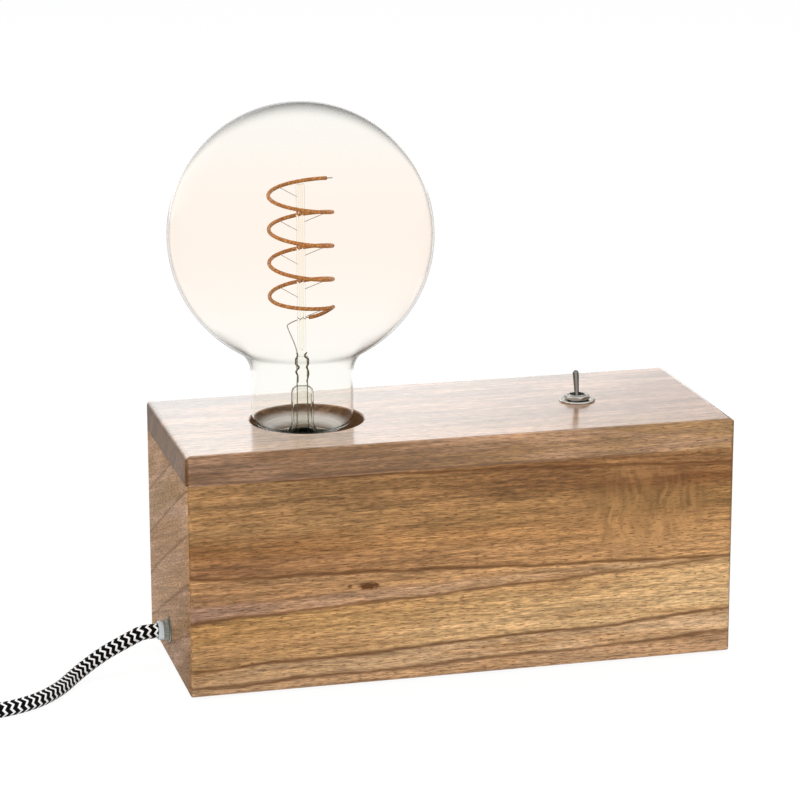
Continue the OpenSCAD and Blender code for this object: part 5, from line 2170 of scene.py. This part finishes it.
@dataclass
class Studio:
    """The pale floor, the soft lights and the camera at the photograph's angle.

    The camera, the cards and the floor are placed in millimetres, and the lights in metres.
    """

    target: Point = (-18.4, 0.0, 123.0)
    distance: float = 1485.0
    azimuth: float = -14.3
    elevation: float = 14.83
    roll: float = -0.13
    pixels: float = 3115.0
    frame: float = 800.0
    sensor: float = 36.0
    clip: Pair = (0.05, 30.0)
    aim: Point = (-0.02, 0, 0.1)
    lamps: tuple[tuple[str, Point, float, float], ...] = (
        ("overhead_softbox", (0.15, 0.55, 1.5), 1.3, 9.0),
        ("front_softbox", (-0.7, -1.9, 1.1), 1.4, 22.0),
        ("left_softbox", (-2.0, -0.2, 0.9), 1.2, 7.0),
    )
    panel_edge: Point = (0.9, 1.5, 0.406)
    panel_tilt: float = 21.0
    panel_size: Pair = (2.6, 0.9)
    panel_glow: float = 1.5
    card_x: float = 345.0
    card_span: Pair = (-210.0, 450.0)
    card_rise: Pair = (5.0, 205.0)
    card_tone: tuple[float, ...] = (0.02, 0.02, 0.02, 1)
    floor_reach: float = 4000.0
    floor_tone: tuple[float, ...] = (0.8, 0.8, 0.8, 1)
    floor_shade: tuple[float, ...] = (0.12, 0.12, 0.12, 1)
    floor_glow: float = 0.92
    room_tone: tuple[float, ...] = (0.98, 0.99, 1.0, 1)
    room_glow: float = 0.55
    white: tuple[float, ...] = (1, 1, 1, 1)

    def build(self) -> None:
        """Set the camera, hang the lights, and lay the floor and the surroundings."""
        self.camera()
        for name, place, size, power in self.lamps:
            way = (Vector(place) - Vector(self.aim)).to_track_quat("Z", "Y")
            turn = Matrix.Translation(place) @ way.to_matrix().to_4x4()
            hidden_from(area_light(name, (size, size), power, turn), "glossy")
        self.back_panel()
        self.flags()
        self.floor()
        self.room()

    def camera(self) -> None:
        """Set the camera where the photograph was taken from."""
        a, e, r = (math.radians(v) for v in (self.azimuth, self.elevation, self.roll))
        back = Vector((math.sin(a) * math.cos(e), -math.cos(a) * math.cos(e), math.sin(e)))
        right = (-back).cross(Vector((0, 0, 1))).normalized()
        up = right.cross(-back)
        tilted_right = right * math.cos(r) + up * math.sin(r)
        tilted_up = -right * math.sin(r) + up * math.cos(r)
        data = bpy.data.cameras.new("camera")
        data.sensor_fit = "HORIZONTAL"
        data.sensor_width = self.sensor
        data.lens = self.pixels / self.frame * self.sensor
        data.clip_start, data.clip_end = self.clip
        camera = linked(bpy.data.objects.new("camera", data))
        place = (Vector(self.target) + back * self.distance) * MM
        turn = Matrix((tilted_right, tilted_up, back)).transposed().to_4x4()
        camera.matrix_world = Matrix.Translation(place) @ turn
        bpy.context.scene.camera = camera

    def back_panel(self) -> None:
        """Stand a bright panel behind the lamp; the varnish on the top board mirrors it."""
        tilt, (width, height) = math.radians(self.panel_tilt), self.panel_size
        up = Vector((math.sin(tilt), 0, math.cos(tilt)))
        side = Vector((-math.cos(tilt), 0, math.sin(tilt)))
        centre = Vector(self.panel_edge) - up * height / 2 + side * width / 2
        turn = Matrix((side, up, side.cross(up))).transposed().to_4x4()
        power = self.panel_glow * math.pi * width * height
        turn = Matrix.Translation(centre) @ turn
        hidden_from(area_light("back_panel", self.panel_size, power, turn), "diffuse")

    def flags(self) -> None:
        """Stand two low dark cards beside the lamp, which only its bright metal mirrors."""
        material = bpy.data.materials.new("black_card")
        node = empty_tree(material)
        black = node("ShaderNodeEmission", {"Color": self.card_tone})
        node("ShaderNodeOutputMaterial", {"Surface": black})
        (back, front), (low, high) = self.card_span, self.card_rise
        for name, x in (("left_card", -self.card_x), ("right_card", self.card_x)):
            corners = [(x, back, low), (x, front, low), (x, front, high), (x, back, high)]
            card = mesh_piece(name, corners, [(0, 1, 2, 3)])
            card.data.materials.append(material)
            hidden_from(card, "camera", "diffuse", "transmission", "shadow")

    def floor(self) -> None:
        """Lay the floor: white to the eye, pale to the light, and clear from below."""
        r = self.floor_reach
        corners = [(-r, -r, 0), (r, -r, 0), (r, r, 0), (-r, r, 0)]
        floor = mesh_piece("floor", corners, [(0, 1, 2, 3)])
        material = bpy.data.materials.new("pale_floor")
        node = empty_tree(material)
        diffuse = node("ShaderNodeBsdfDiffuse", {"Color": self.floor_tone})
        soft = node("ShaderNodeBsdfDiffuse", {"Color": self.floor_shade})
        glow = node("ShaderNodeEmission", {"Color": self.white, "Strength": self.floor_glow})
        white = node("ShaderNodeAddShader", {0: soft, 1: glow})
        mix = node("ShaderNodeMixShader", {0: self._seen(node), 1: diffuse, 2: white})
        below = node("ShaderNodeNewGeometry").outputs["Backfacing"]
        clear = node("ShaderNodeBsdfTransparent")
        mix = node("ShaderNodeMixShader", {0: below, 1: mix, 2: clear})
        node("ShaderNodeOutputMaterial", {"Surface": mix})
        floor.data.materials.append(material)

    def room(self) -> None:
        """Set the white surroundings, which light the lamp less than they look."""
        world = bpy.data.worlds.new("white_room")
        bpy.context.scene.world = world
        node = empty_tree(world)
        room = {"Color": self.room_tone, "Strength": self.room_glow}
        room = node("ShaderNodeBackground", room)
        white = node("ShaderNodeBackground", {"Color": self.white, "Strength": 1.0})
        mix = node("ShaderNodeMixShader", {0: self._seen(node), 1: room, 2: white})
        node("ShaderNodeOutputWorld", {"Surface": mix})

    def _seen(self, node: Adder) -> Node:
        """Add a value that is 1 for camera, glossy and transmission rays.

        Args:
            node: Adds a node to the material or the world.

        Returns:
            The value.
        """
        path = node("ShaderNodeLightPath").outputs
        first = {0: path["Is Camera Ray"], 1: path["Is Glossy Ray"]}
        first = node("ShaderNodeMath", first, operation="MAXIMUM")
        both = {0: first, 1: path["Is Transmission Ray"]}
        return node("ShaderNodeMath", both, operation="MAXIMUM")


def main() -> None:
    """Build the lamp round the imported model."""
    logging.basicConfig(level=logging.INFO, format="%(name)s: %(message)s")
    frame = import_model()
    bpy.context.scene.view_settings.view_transform = "Standard"
    Studio().build()
    kit = Kit(frame["nodes"], path_tube_tree(), set_on_points_tree())
    BraidedCord(kit).build(Plug(kit).build())
    for group in (WoodenBlock, GlobeBulb, LampHolder, ToggleSwitch, CordEntry):
        group(kit).build()


if __name__ == "__main__":
    main()
